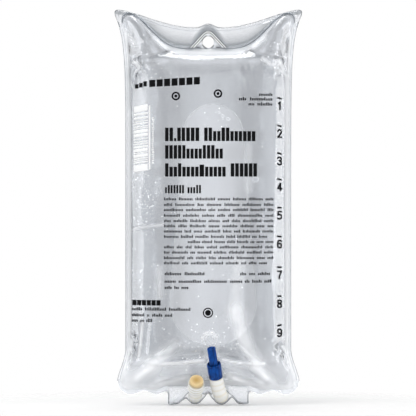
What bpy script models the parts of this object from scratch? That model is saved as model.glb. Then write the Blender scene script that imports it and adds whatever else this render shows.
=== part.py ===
"""Clear one-litre infusion bag, filled and hanging, with its two ports folded up in front.

Sizes are in millimetres and are turned to metres by MM. The origin is the centre of the hanger
hole, the printed front faces -Y, and +Z is up.
"""

import math

import bmesh
import bpy
from mathutils import Matrix, Vector

MM = 0.001

# Clearances
SEAT_GAP = 0.3             # between faces that touch or are bonded on the real bag
LIQUID_GAP = 0.5           # between the liquid and the film round it
TUBE_WELD_GAP = 0.5        # between a port tube and the film welded round it

# Film and its flat pattern
FILM_THICKNESS = 0.4
FILM_HALF_WIDTH = 75.0
SIDE_WELD_WIDTH = 2.0
TAB_HALF_WIDTH = 33.0
TAB_LENGTH = 15.4
TAB_CORNER_RADIUS = 5.0

# Outline of the filled bag, seen from the front
WAIST_HALF_WIDTH = 66.0
TOP_FLARE = 11.0
TOP_FLARE_LENGTH = 18.0
BOTTOM_FLARE = 7.0
BOTTOM_FLARE_HEIGHT = 30.0
TOP_CORNER_Z = 26.0
TOP_CORNER_RADIUS = 5.0
TOP_EDGE_SAG = 14.8
HANGER_PEAK = 3.4
HANGER_PEAK_WIDTH = 6.0
CHAMBER_TOP_Z = -6.0
EAR_RISE = 28.5
EAR_TIP_X = 63.0
EAR_CORNER_HEIGHT = 12.0
CHAMBER_BOTTOM_Z = -275.0
CHAMBER_BOTTOM_DROP = 3.0
CHAMBER_DROP_WIDTH = 12.0
BOTTOM_CORNER_RADIUS = 8.0
BOTTOM_WELD_WIDTH = 4.4
BOTTOM_EDGE_DROP = 1.0

# Depth of the filled bag
HALF_DEPTH = 22.5
SHOULDER_LENGTH = 7.0
BASE_LENGTH = 12.5
SECTION_POWER = 0.65
HEADER_PUFF = 1.0

# Creases and dents of the filled film
CREASE_WIDTH = 5.0
SHOULDER_CREASE_Z = -12.0
SHOULDER_CREASE_HEIGHT = 1.3
SHOULDER_CREASE_FALL = 4.0
BASE_CREASE_Z = -254.0
BASE_CREASE_HEIGHT = 1.2
PUCKER_X = 60.0
PUCKER_TOP_Z = -19.0
PUCKER_BOTTOM_Z = -243.0
PUCKER_RADIUS = 9.0
PUCKER_DEPTH = 2.5

# Ruffled bottom weld
RUFFLE_PITCH = 22.0
RUFFLE_START = 41.5
RUFFLE_RISE = 1.4
RUFFLE_DEPTH = 1.6

# Hanger hole
HANGER_HOLE_RADIUS = 4.65
HANGER_HOLE_SIDES = 32
HANGER_CUT_DEPTH = 12.0
HANGER_WELD_APEX_Z = 7.3
HANGER_WELD_BASE_Z = -4.0
HANGER_WELD_HALF_WIDTH = 11.0
HANGER_WELD_RIDGE_WIDTH = 0.9
HANGER_WELD_RIDGE_HEIGHT = 0.4

# Tab that carries the ports, curled forwards under the bag
CURL_RADIUS = 8.0
LOBE_DROP = 5.4
GUSSET_RISE = 3.0
SLEEVE_FOOT = 7.35

# Ports
PORT_X = 10.85
PORT_WALL = 1.1
PORT_ROOT = 1.0
INJECTION_TUBE_RADIUS = 5.3
INJECTION_CURL = 129.0
INJECTION_CURL_LEAN = 3.0
INJECTION_END_LEAN = 3.0
INJECTION_TUBE_STRAIGHT = 15.9
OUTLET_TUBE_RADIUS = 5.6
OUTLET_STANDOFF = 9.6      # from the deepest point of the film to the middle of the stem's end
OUTLET_CURL_LEAN = -16.0
OUTLET_END_LEAN = -8.0
OUTLET_TUBE_STRAIGHT = 13.0
LEAN_START = 60.0
LEAST_CURL = 100.0
MOST_CURL = 175.0

# Membrane tubes, bonded inside the ports, each closed by a thin web
MEMBRANE_WALL = 0.9
MEMBRANE_WEB = 0.5
MEMBRANE_TUBE_LENGTH = 11.0
OUTLET_MEMBRANE_PROUD = 5.6

# Shrunk sleeve and rubber stopper of the injection port
SLEEVE_WALL = 0.45
SLEEVE_LENGTH = 9.0
SLEEVE_BEAD = 0.25
SLEEVE_BEAD_PITCH = 3.0
STOPPER_HEAD = 3.8
STOPPER_RADIUS = 5.45
STOPPER_EDGE = 1.0
STOPPER_RING_RADIUS = 2.6
STOPPER_RING_DEPTH = 0.4
STOPPER_PLUG_LENGTH = 2.6

# Pull-off protector of the outlet port
PROTECTOR_RADIUS = 5.65
PROTECTOR_LENGTH = 12.4
PROTECTOR_WEB = 1.4
PROTECTOR_GROOVE_DEPTH = 4.2
PROTECTOR_GROOVE_WIDTH = 1.1
PROTECTOR_STEM_RADIUS = 3.4
PROTECTOR_STEM_LENGTH = 14.1
PROTECTOR_EDGE = 0.5

# Mesh fineness
EDGE_COLUMNS = 7
CHAMBER_ROWS = 22
HEADER_ROWS = 3
BOTTOM_WELD_ROWS = 2
TAB_ROWS = 4
SLEEVE_COLUMNS = 8
PORT_SIDES = 24
PATH_STEP = 0.25
CURL_STATIONS = 8

FRONT = -1
BACK = 1

WELD_X = FILM_HALF_WIDTH - SIDE_WELD_WIDTH


def clear_scene():
    for item in list(bpy.data.objects):
        bpy.data.objects.remove(item, do_unlink=True)


def plastic(name, colour, roughness, alpha=1.0, transmission=0.0):
    """Principled material for one kind of plastic, rubber or liquid."""
    material = bpy.data.materials.new(name)
    material.use_nodes = True
    shader = material.node_tree.nodes["Principled BSDF"]
    shader.inputs["Base Color"].default_value = (*colour, 1.0)
    shader.inputs["Roughness"].default_value = roughness
    shader.inputs["Metallic"].default_value = 0.0
    shader.inputs["Alpha"].default_value = alpha
    shader.inputs["Transmission Weight"].default_value = transmission
    return material


def smooth_step(t):
    t = max(0.0, min(1.0, t))
    return t * t * (3.0 - 2.0 * t)


def bell(t):
    return math.exp(-t * t)


def corner(x, start, end):
    """How far a rounded corner has fallen at x: 0 up to start, 1 at end, along a quarter circle."""
    t = max(0.0, min(1.0, (abs(x) - start) / (end - start)))
    return 1.0 - math.sqrt(1.0 - t * t)


# The film's lines across the bag: each gives the height of one line at a pattern place x.

def top_edge(x):
    sag = TOP_EDGE_SAG * (1.0 - smooth_step((abs(x) / FILM_HALF_WIDTH) ** 1.5))
    peak = HANGER_PEAK * bell(x / HANGER_PEAK_WIDTH)
    rounding = TOP_CORNER_RADIUS * corner(x, FILM_HALF_WIDTH - TOP_CORNER_RADIUS, FILM_HALF_WIDTH)
    return TOP_CORNER_Z - sag + peak - rounding


def chamber_top(x):
    """The U-shaped weld under the hanger hole, which runs up into an ear at each side."""
    rise = EAR_RISE * smooth_step((min(abs(x), EAR_TIP_X) / EAR_TIP_X) ** 2.6)
    return CHAMBER_TOP_Z + rise - EAR_CORNER_HEIGHT * corner(x, EAR_TIP_X, WELD_X)


def beside_tab(x):
    """0 above the tab, 1 where the bottom weld has dropped beside it."""
    return smooth_step((abs(x) - TAB_HALF_WIDTH) / CHAMBER_DROP_WIDTH)


def chamber_bottom(x):
    drop = CHAMBER_BOTTOM_DROP * beside_tab(x)
    rounding = BOTTOM_CORNER_RADIUS * corner(x, WELD_X - BOTTOM_CORNER_RADIUS, WELD_X)
    return CHAMBER_BOTTOM_Z - drop + rounding


def bottom_edge(x):
    wave = math.cos(2.0 * math.pi * (abs(x) - RUFFLE_START) / RUFFLE_PITCH)
    ruffle = RUFFLE_RISE * wave * smooth_step((abs(x) - TAB_HALF_WIDTH) / CURL_RADIUS)
    rounding = BOTTOM_CORNER_RADIUS * corner(x, FILM_HALF_WIDTH - BOTTOM_CORNER_RADIUS, FILM_HALF_WIDTH)
    drop = BOTTOM_EDGE_DROP * beside_tab(x)
    return CHAMBER_BOTTOM_Z - BOTTOM_WELD_WIDTH - drop - ruffle + rounding


def side_half_width(z):
    """Half-width of the filled bag, which draws in at the waist and flares at both ends."""
    top = TOP_FLARE * math.exp(-(TOP_CORNER_Z - z) / TOP_FLARE_LENGTH)
    bottom_start = CHAMBER_BOTTOM_Z + BOTTOM_FLARE_HEIGHT
    bottom = BOTTOM_FLARE * smooth_step((bottom_start - z) / BOTTOM_FLARE_HEIGHT)
    return WAIST_HALF_WIDTH + top + bottom


def front_view_x(x, z):
    """Where a pattern place x lies once the filled bag has drawn its sides in."""
    return x * side_half_width(z) / FILM_HALF_WIDTH


def port_sleeve_depth(x, below):
    """Half-depth of the film round a port tube, at a distance below the chamber's bottom weld."""
    place = front_view_x(x, CHAMBER_BOTTOM_Z)
    depth = 0.0
    for port_sizes in (INJECTION, OUTLET):
        radius = port_sizes["tube_radius"] + TUBE_WELD_GAP
        tube_centre = port_sizes["line"][round(max(0.0, below) / PATH_STEP)][0]
        offset = place - tube_centre.x
        if abs(offset) < radius:
            depth = max(depth, math.sqrt(radius * radius - offset * offset))
    return depth


def crumpling(x, z):
    """How far the film stands out of its smooth shape at its two creases and four puckers."""
    shoulder_z = SHOULDER_CREASE_Z - SHOULDER_CREASE_FALL * (x / WELD_X) ** 2
    out = SHOULDER_CREASE_HEIGHT * bell((z - shoulder_z) / CREASE_WIDTH)
    out += BASE_CREASE_HEIGHT * bell((z - BASE_CREASE_Z) / CREASE_WIDTH)
    for pucker_z in (PUCKER_TOP_Z, PUCKER_BOTTOM_Z):
        distance = math.hypot(abs(x) - PUCKER_X, z - pucker_z)
        out -= PUCKER_DEPTH * bell(distance / PUCKER_RADIUS)
    return out


def chamber_depth(x, z):
    """Half-depth of the filled chamber: a pillow section across, steep at the shoulder and base."""
    across = max(0.0, 1.0 - (x / WELD_X) ** 2) ** SECTION_POWER
    shoulder = 1.0 - math.exp(-max(0.0, chamber_top(x) - z) / SHOULDER_LENGTH)
    base = 1.0 - math.exp(-max(0.0, z - chamber_bottom(x)) / BASE_LENGTH)
    depth = HALF_DEPTH * across * shoulder * base
    return depth + crumpling(x, z) * smooth_step(depth / SHOULDER_LENGTH)


def header_depth(x, z):
    """Half-depth of the slack header above the U weld, flat round the hanger hole."""
    low = chamber_top(max(-WELD_X, min(WELD_X, x)))
    part = max(0.0, min(1.0, (z - low) / (top_edge(x) - low)))
    away_from_hole = smooth_step((abs(x) - 2.0 * HANGER_HOLE_RADIUS) / PORT_X)
    return HEADER_PUFF * math.sin(math.pi * part) * away_from_hole


def tab_reach(x):
    """Length of the tab below the bottom weld, with rounded lower corners."""
    rounding = corner(x, TAB_HALF_WIDTH - TAB_CORNER_RADIUS, TAB_HALF_WIDTH)
    return TAB_LENGTH - BOTTOM_WELD_WIDTH - TAB_CORNER_RADIUS * rounding


def tab_drop(x):
    """The tab's lobes hang lower than its ports, and it arches up between them."""
    lobe = smooth_step((abs(x) - PORT_X - SLEEVE_FOOT) / SLEEVE_FOOT)
    gusset = 1.0 - smooth_step(abs(x) / (PORT_X - SLEEVE_FOOT))
    return GUSSET_RISE * gusset - LOBE_DROP * lobe


def middle_of_film(x, z):
    """Middle surface between the two films, and the direction from it to the back film."""
    seal = chamber_bottom(x)
    place = front_view_x(x, z)
    below = seal - z
    if below <= 0.0:
        return Vector((place, 0.0, z)), Vector((0.0, 1.0, 0.0))
    if abs(x) > TAB_HALF_WIDTH + SEAT_GAP:
        phase = 2.0 * math.pi * (abs(x) - RUFFLE_START) / RUFFLE_PITCH
        wave = RUFFLE_DEPTH * math.sin(phase) * min(1.0, below / BOTTOM_WELD_WIDTH)
        return Vector((place, wave, z)), Vector((0.0, 1.0, 0.0))
    curl = below / CURL_RADIUS
    y = -CURL_RADIUS * (1.0 - math.cos(curl))
    height = seal - CURL_RADIUS * math.sin(curl) + tab_drop(x) * math.sin(min(curl, math.pi / 2.0))
    return Vector((place, y, height)), Vector((0.0, math.cos(curl), -math.sin(curl)))


def formed(x, z, side):
    """Inner face of one film at a pattern place, with the bag welded, filled and hung."""
    middle, to_back = middle_of_film(x, z)
    inside = abs(x) < WELD_X and chamber_bottom(x) < z < chamber_top(x)
    if z > chamber_top(max(-WELD_X, min(WELD_X, x))):
        depth = header_depth(x, z)
    elif inside:
        depth = chamber_depth(x, z)
    else:
        depth = 0.0
    if z < chamber_bottom(x) + BASE_LENGTH:
        depth = max(depth, port_sleeve_depth(x, chamber_bottom(x) - z))
    return middle + to_back * side * (depth + SEAT_GAP / 2.0)


# Columns and rows of the film's grid

def pattern_columns():
    """Places across the film, close together at the ears and round the ports."""
    half = [0.0, PORT_X - SLEEVE_FOOT, PORT_X + SLEEVE_FOOT]
    half.append((half[-1] + TAB_HALF_WIDTH) / 2.0)
    for k in range(EDGE_COLUMNS + 1):
        turn = math.pi / 2.0 * k / EDGE_COLUMNS
        half.append(TAB_HALF_WIDTH + (WELD_X - TAB_HALF_WIDTH) * math.sin(turn))
    half.append(FILM_HALF_WIDTH)
    return [-x for x in reversed(half[1:])] + half


def row_height(x, row):
    """Height of grid line number row at x, counted down from the top edge."""
    x_in_chamber = max(-WELD_X, min(WELD_X, x))
    top = chamber_top(x_in_chamber)
    bottom = chamber_bottom(x_in_chamber)
    if row < HEADER_ROWS:
        return top_edge(x) + (top - top_edge(x)) * row / HEADER_ROWS
    if row <= HEADER_ROWS + CHAMBER_ROWS:
        part = (1.0 - math.cos(math.pi * (row - HEADER_ROWS) / CHAMBER_ROWS)) / 2.0
        return top + (bottom - top) * part
    part = (row - HEADER_ROWS - CHAMBER_ROWS) / BOTTOM_WELD_ROWS
    return bottom + (bottom_edge(x) - bottom) * part


def new_object(name, bm, material):
    mesh = bpy.data.meshes.new(name)
    bm.to_mesh(mesh)
    bm.free()
    mesh.materials.append(material)
    mesh.shade_smooth()
    mesh.set_sharp_from_angle(angle=math.radians(40.0))
    item = bpy.data.objects.new(name, mesh)
    bpy.context.scene.collection.objects.link(item)
    return item


def edges_between(geometry, verts):
    """The edges in some geometry that have both ends among some vertices."""
    ends = set(verts)
    return [
        item for item in geometry
        if isinstance(item, bmesh.types.BMEdge) and all(vert in ends for vert in item.verts)
    ]


def pattern_grid(bm, columns, first_row, last_row):
    """Flat grid in the pattern's own places, x and z, on the given columns and rows."""
    across = len(columns) - 1
    down = last_row - first_row
    bmesh.ops.create_grid(bm, x_segments=across, y_segments=down, size=0.5)
    for vert in bm.verts:
        x = columns[round((vert.co.x + 0.5) * across)]
        row = last_row - round((vert.co.y + 0.5) * down)
        vert.co = (x, 0.0, row_height(x, row))


def add_tab(bm):
    """Finer columns round the ports, then the tab, drawn down from the bottom edge."""
    inner = PORT_X - SLEEVE_FOOT
    outer = PORT_X + SLEEVE_FOOT
    lowest_rows = row_height(0.0, HEADER_ROWS + CHAMBER_ROWS - 1) + SEAT_GAP
    round_ports = []
    for edge in bm.edges:
        a, b = (vert.co for vert in edge.verts)
        spans_port = abs((abs(a.x) + abs(b.x)) / 2.0 - (inner + outer) / 2.0) < SEAT_GAP
        if spans_port and max(a.z, b.z) < lowest_rows:
            round_ports.append(edge)
    bmesh.ops.subdivide_edges(bm, edges=round_ports, cuts=SLEEVE_COLUMNS - 1, use_grid_fill=True)

    rim = []
    for edge in bm.edges:
        low = all(abs(vert.co.z - bottom_edge(vert.co.x)) < SEAT_GAP for vert in edge.verts)
        in_tab = all(abs(vert.co.x) < TAB_HALF_WIDTH + SEAT_GAP for vert in edge.verts)
        if edge.is_boundary and low and in_tab:
            rim.append(edge)
    for _ in range(TAB_ROWS):
        grown = bmesh.ops.extrude_edge_only(bm, edges=rim)["geom"]
        verts = [item for item in grown if isinstance(item, bmesh.types.BMVert)]
        for vert in verts:
            vert.co.z -= tab_reach(vert.co.x) / TAB_ROWS
        rim = edges_between(grown, verts)


def film(name, side, material):
    """One sheet of film: cut flat with its tab, formed, given its thickness and pierced."""
    bm = bmesh.new()
    pattern_grid(bm, pattern_columns(), 0, HEADER_ROWS + CHAMBER_ROWS + BOTTOM_WELD_ROWS)
    add_tab(bm)
    bmesh.ops.triangulate(bm, faces=bm.faces)
    for vert in bm.verts:
        vert.co = formed(vert.co.x, vert.co.z, side) * MM
    item = new_object(name, bm, material)

    wall = item.modifiers.new("thickness", "SOLIDIFY")
    wall.thickness = FILM_THICKNESS * MM
    wall.offset = 1.0 if side == FRONT else -1.0

    ridge = item.modifiers.new("hanger_weld", "BOOLEAN")
    ridge.operation = "UNION"
    ridge.solver = "EXACT"
    ridge.object = hanger_weld_ridge(side)

    pierce = item.modifiers.new("hanger_hole", "BOOLEAN")
    pierce.operation = "DIFFERENCE"
    pierce.solver = "EXACT"
    pierce.object = hanger_cutter()
    return item


def guide(name, bm):
    """Object that only shapes another one, through a modifier."""
    mesh = bpy.data.meshes.new(name)
    bm.to_mesh(mesh)
    bm.free()
    item = bpy.data.objects.new(name, mesh)
    bpy.context.scene.collection.objects.link(item)
    item.display_type = "WIRE"
    item.hide_render = True
    return item


def hanger_weld_ridge(side):
    """Raised triangular weld line round the hanger hole, on one film's outer face."""
    bm = bmesh.new()
    corners = (
        (-HANGER_WELD_HALF_WIDTH, HANGER_WELD_BASE_Z),
        (HANGER_WELD_HALF_WIDTH, HANGER_WELD_BASE_Z),
        (0.0, HANGER_WELD_APEX_Z),
    )
    buried = side * (SEAT_GAP / 2.0 + FILM_THICKNESS / 2.0)
    face = bm.faces.new([bm.verts.new(Vector((x, buried, z)) * MM) for x, z in corners])
    hole = bmesh.ops.inset_region(bm, faces=[face], thickness=HANGER_WELD_RIDGE_WIDTH * MM)
    frame = hole["faces"]
    bmesh.ops.delete(bm, geom=[face], context="FACES_ONLY")
    grown = bmesh.ops.extrude_face_region(bm, geom=frame)["geom"]
    verts = [item for item in grown if isinstance(item, bmesh.types.BMVert)]
    rise = side * (FILM_THICKNESS / 2.0 + HANGER_WELD_RIDGE_HEIGHT) * MM
    bmesh.ops.translate(bm, verts=verts, vec=(0.0, rise, 0.0))
    bmesh.ops.recalc_face_normals(bm, faces=bm.faces)
    return guide("hanger_weld_front" if side == FRONT else "hanger_weld_back", bm)


def hanger_cutter():
    cutter = bpy.data.objects.get("hanger_hole_cutter")
    if cutter:
        return cutter
    bm = bmesh.new()
    bmesh.ops.create_cone(
        bm,
        cap_ends=True,
        segments=HANGER_HOLE_SIDES,
        radius1=HANGER_HOLE_RADIUS * MM,
        radius2=HANGER_HOLE_RADIUS * MM,
        depth=HANGER_CUT_DEPTH * MM,
        matrix=Matrix.Rotation(math.pi / 2.0, 4, "X"),
    )
    return guide("hanger_hole_cutter", bm)


def liquid(name, material):
    """The liquid, which fills the chamber up to the film on every side."""
    columns = [x for x in pattern_columns() if abs(x) < WELD_X - SEAT_GAP]
    bm = bmesh.new()
    pattern_grid(bm, columns, HEADER_ROWS + 1, HEADER_ROWS + CHAMBER_ROWS - 1)
    bmesh.ops.triangulate(bm, faces=bm.faces)
    front = bmesh.ops.extrude_face_region(bm, geom=bm.faces[:])["geom"]
    front_verts = {item for item in front if isinstance(item, bmesh.types.BMVert)}
    for vert in bm.verts:
        x, z = vert.co.x, vert.co.z
        depth = chamber_depth(x, z) + SEAT_GAP / 2.0 - LIQUID_GAP
        side = FRONT if vert in front_verts else BACK
        vert.co = Vector((front_view_x(x, z), side * max(depth, LIQUID_GAP / 4.0), z)) * MM
    bmesh.ops.recalc_face_normals(bm, faces=bm.faces)
    return new_object(name, bm, material)


# Ports: every piece is turned about its port's centre line, which curls with the tab.

def port(x, tube_radius, curl, curl_lean, end_lean, straight):
    """Sizes of one port and its centre line, as points and directions every PATH_STEP."""
    place = front_view_x(x, CHAMBER_BOTTOM_Z)
    curl_length = CURL_RADIUS * math.radians(curl)
    point = Vector((place, 0.0, chamber_bottom(x)))
    line = []
    reach = curl_length + straight + PROTECTOR_LENGTH + PROTECTOR_STEM_LENGTH + STOPPER_HEAD
    for k in range(math.ceil(reach / PATH_STEP) + 1):
        turned_by = min(k * PATH_STEP / CURL_RADIUS, math.radians(curl))
        lean_in = smooth_step((math.degrees(turned_by) - LEAN_START) / (curl - LEAN_START))
        straighten = max(0.0, min(1.0, (k * PATH_STEP - curl_length) / straight))
        tilt = math.radians(curl_lean * lean_in + (end_lean - curl_lean) * straighten)
        direction = Vector((
            math.sin(tilt),
            -math.sin(turned_by) * math.cos(tilt),
            -math.cos(turned_by) * math.cos(tilt),
        ))
        line.append((point.copy(), direction))
        point += direction * PATH_STEP
    return {
        "tube_radius": tube_radius,
        "line": line,
        "curl_length": curl_length,
        "tube_end": curl_length + straight,
    }


def station(port_sizes, distance):
    """Frame on a port's centre line, a distance from its root, with Z along the line."""
    line = port_sizes["line"]
    k = min(int(distance / PATH_STEP), len(line) - 1)
    point, direction = line[k]
    origin = point + direction * (distance - k * PATH_STEP)
    sideways = (Vector((1.0, 0.0, 0.0)) - direction * direction.x).normalized()
    frame = Matrix((sideways, direction.cross(sideways), direction)).transposed().to_4x4()
    return Matrix.Translation(origin * MM) @ frame


def along(start, end, radius):
    """Section points at one radius, close enough to follow the curl."""
    count = max(1, round(abs(end - start) / (CURL_RADIUS * math.pi / CURL_STATIONS)))
    return [(start + (end - start) * k / count, radius) for k in range(count + 1)]


def turned(name, port_sizes, section, material, bored=False):
    """Piece turned along a port's centre line from (distance, radius) points of its section.

    A bored piece has a closed section. Any other has a flat face where its section starts and ends.
    """
    bm = bmesh.new()
    distance, radius = section[0]
    frame = station(port_sizes, distance)
    bmesh.ops.create_circle(
        bm, cap_ends=not bored, segments=PORT_SIDES, radius=radius * MM, matrix=frame
    )
    first_ring = [edge for edge in bm.edges]
    ring = first_ring
    for next_distance, next_radius in section[1:]:
        next_frame = station(port_sizes, next_distance)
        grown = bmesh.ops.extrude_edge_only(bm, edges=ring)["geom"]
        verts = [item for item in grown if isinstance(item, bmesh.types.BMVert)]
        ring = edges_between(grown, verts)
        widen = Matrix.Diagonal((next_radius / radius, next_radius / radius, 1.0, 1.0))
        bmesh.ops.transform(bm, verts=verts, matrix=next_frame @ widen @ frame.inverted())
        frame = next_frame
        radius = next_radius
    if bored:
        bmesh.ops.bridge_loops(bm, edges=first_ring + ring)
    else:
        bmesh.ops.edgeloop_fill(bm, edges=ring)
    bmesh.ops.recalc_face_normals(bm, faces=bm.faces)
    return new_object(name, bm, material)


def port_tube(name, port_sizes, material):
    radius = port_sizes["tube_radius"]
    end = port_sizes["tube_end"]
    outside = along(PORT_ROOT, end, radius)
    bore = along(end, PORT_ROOT, radius - PORT_WALL)
    return turned(name, port_sizes, outside + bore, material, bored=True)


def membrane_tube(name, port_sizes, start, end, web_at, material):
    """Tube bonded in a port, closed across by the web that a spike or needle goes through."""
    outer = port_sizes["tube_radius"] - PORT_WALL - SEAT_GAP
    inner = outer - MEMBRANE_WALL
    near_bore = along(web_at, start, inner)
    outside = along(start, end, outer)
    far_bore = along(end, web_at + MEMBRANE_WEB, inner)
    return turned(name, port_sizes, near_bore + outside + far_bore, material)


def injection_sleeve(name, material):
    """Clear sleeve shrunk over the port tube, with raised beads round it."""
    inner = INJECTION_TUBE_RADIUS + SEAT_GAP
    outer = inner + SLEEVE_WALL
    end = INJECTION["tube_end"]
    start = end - SLEEVE_LENGTH
    section = [(start, inner), (start, outer)]
    bead = start + SLEEVE_BEAD_PITCH / 2.0
    while bead + SLEEVE_BEAD_PITCH / 4.0 < end:
        section.append((bead - SLEEVE_BEAD_PITCH / 4.0, outer))
        section.append((bead, outer + SLEEVE_BEAD))
        section.append((bead + SLEEVE_BEAD_PITCH / 4.0, outer))
        bead += SLEEVE_BEAD_PITCH
    section += [(end, outer), (end, inner)]
    return turned(name, INJECTION, section, material, bored=True)


def injection_stopper(name, material):
    """Rubber stopper: a plug in the bore and a rounded head with a flat target ring on top."""
    seat = INJECTION["tube_end"] + SEAT_GAP
    top = seat + STOPPER_HEAD
    plug = INJECTION_TUBE_RADIUS - PORT_WALL - SEAT_GAP
    section = [
        (seat - STOPPER_PLUG_LENGTH, plug - STOPPER_EDGE),
        (seat - STOPPER_PLUG_LENGTH + STOPPER_EDGE, plug),
        (seat, plug),
        (seat, STOPPER_RADIUS),
    ]
    for k in range(5):
        turn = math.pi / 2.0 * k / 4
        section.append((
            top - STOPPER_EDGE * (1.0 - math.sin(turn)),
            STOPPER_RADIUS - STOPPER_EDGE * (1.0 - math.cos(turn)),
        ))
    section += [
        (top, STOPPER_RING_RADIUS + STOPPER_RING_DEPTH),
        (top - STOPPER_RING_DEPTH, STOPPER_RING_RADIUS),
    ]
    return turned(name, INJECTION, section, material)


def outlet_protector(name, material):
    """Moulded protector: a cup over the membrane tube, and the stem that it is pulled off by."""
    start = OUTLET["tube_end"] + SEAT_GAP
    rim = start + PROTECTOR_LENGTH
    bore = OUTLET_TUBE_RADIUS - PORT_WALL
    bore_end = OUTLET["tube_end"] + OUTLET_MEMBRANE_PROUD + SEAT_GAP
    groove_floor = rim - PROTECTOR_GROOVE_DEPTH
    groove_outer = PROTECTOR_STEM_RADIUS + PROTECTOR_GROOVE_WIDTH
    stem_top = rim + PROTECTOR_STEM_LENGTH
    section = [
        (min(bore_end, groove_floor - PROTECTOR_WEB), bore),
        (start, bore),
        (start, PROTECTOR_RADIUS),
        (rim - PROTECTOR_EDGE, PROTECTOR_RADIUS),
        (rim, PROTECTOR_RADIUS - PROTECTOR_EDGE),
        (rim, groove_outer + PROTECTOR_EDGE / 2.0),
        (rim - PROTECTOR_EDGE / 2.0, groove_outer),
        (groove_floor, groove_outer),
        (groove_floor, PROTECTOR_STEM_RADIUS),
        (stem_top - PROTECTOR_EDGE, PROTECTOR_STEM_RADIUS),
        (stem_top, PROTECTOR_STEM_RADIUS - PROTECTOR_EDGE),
    ]
    return turned(name, OUTLET, section, material)


def outlet_curl():
    """Curl that brings the stem's end to its standoff in front of the filled bag."""
    wanted = -(HALF_DEPTH + OUTLET_STANDOFF)
    low, high = LEAST_CURL, MOST_CURL
    while high - low > PATH_STEP:
        curl = (low + high) / 2.0
        outlet = outlet_port(curl)
        reach = outlet["tube_end"] + SEAT_GAP + PROTECTOR_LENGTH + PROTECTOR_STEM_LENGTH
        if outlet["line"][round(reach / PATH_STEP)][0].y < wanted:
            low = curl
        else:
            high = curl
    return (low + high) / 2.0


def outlet_port(curl):
    return port(
        PORT_X,
        OUTLET_TUBE_RADIUS,
        curl,
        OUTLET_CURL_LEAN,
        OUTLET_END_LEAN,
        OUTLET_TUBE_STRAIGHT,
    )


INJECTION = port(
    -PORT_X,
    INJECTION_TUBE_RADIUS,
    INJECTION_CURL,
    INJECTION_CURL_LEAN,
    INJECTION_END_LEAN,
    INJECTION_TUBE_STRAIGHT,
)
OUTLET = outlet_port(outlet_curl())


def build():
    clear_scene()
    clear_film = plastic("clear_film", (0.86, 0.89, 0.93), 0.15, alpha=0.35)
    clear_liquid = plastic("clear_liquid", (0.80, 0.86, 0.92), 0.05, alpha=0.5, transmission=1.0)
    port_plastic = plastic("port_plastic", (0.85, 0.82, 0.74), 0.35)
    sleeve_plastic = plastic("sleeve_plastic", (0.90, 0.90, 0.86), 0.25)
    tan_rubber = plastic("tan_rubber", (0.69, 0.49, 0.18), 0.45)
    blue_plastic = plastic("blue_plastic", (0.005, 0.07, 0.33), 0.3)

    film("front_film", FRONT, clear_film)
    film("back_film", BACK, clear_film)
    liquid("fluid", clear_liquid)

    port_tube("injection_port_tube", INJECTION, port_plastic)
    plug_end = INJECTION["tube_end"] + SEAT_GAP - STOPPER_PLUG_LENGTH
    membrane_end = plug_end - SEAT_GAP
    membrane_start = membrane_end - MEMBRANE_TUBE_LENGTH
    membrane_tube(
        "injection_membrane_tube",
        INJECTION,
        membrane_start,
        membrane_end,
        membrane_start + MEMBRANE_TUBE_LENGTH / 3.0,
        port_plastic,
    )
    injection_sleeve("injection_sleeve", sleeve_plastic)
    injection_stopper("injection_stopper", tan_rubber)

    port_tube("outlet_port_tube", OUTLET, port_plastic)
    proud_end = OUTLET["tube_end"] + OUTLET_MEMBRANE_PROUD
    membrane_tube(
        "outlet_membrane_tube",
        OUTLET,
        proud_end - MEMBRANE_TUBE_LENGTH - OUTLET_MEMBRANE_PROUD,
        proud_end,
        proud_end - MEMBRANE_TUBE_LENGTH,
        port_plastic,
    )
    outlet_protector("outlet_protector", blue_plastic)


build()
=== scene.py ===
# Clear one-litre infusion bag: film, liquid, welds, print and ports, in a plain white studio
import math
import random

import bmesh
import bpy
import numpy as np
from mathutils import Matrix, Vector, noise
from mathutils.bvhtree import BVHTree


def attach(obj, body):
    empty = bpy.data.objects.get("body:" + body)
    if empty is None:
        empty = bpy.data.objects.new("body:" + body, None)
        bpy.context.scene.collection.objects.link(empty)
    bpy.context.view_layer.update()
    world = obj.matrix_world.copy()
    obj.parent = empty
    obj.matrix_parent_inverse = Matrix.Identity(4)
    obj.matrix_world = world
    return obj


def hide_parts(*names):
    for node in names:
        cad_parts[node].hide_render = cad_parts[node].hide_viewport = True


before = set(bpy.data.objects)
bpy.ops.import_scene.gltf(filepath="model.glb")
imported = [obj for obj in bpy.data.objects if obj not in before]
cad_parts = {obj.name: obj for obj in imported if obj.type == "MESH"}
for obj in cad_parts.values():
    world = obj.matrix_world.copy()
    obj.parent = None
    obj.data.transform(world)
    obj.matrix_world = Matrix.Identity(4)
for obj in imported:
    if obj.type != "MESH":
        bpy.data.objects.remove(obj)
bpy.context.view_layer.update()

MM = 0.001
FRONT = 0
BACK = 1
OUTWARD = (-1.0, 1.0)      # sign of y that points out of the front and of the back film

# Photograph: the field is 416 pixels wide, and the hanger hole is at this pixel
PIXEL = 0.8
HOLE_PIXEL_X = 208.3
HOLE_PIXEL_Y = 42.1
FRAME_PIXELS = 416

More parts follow.
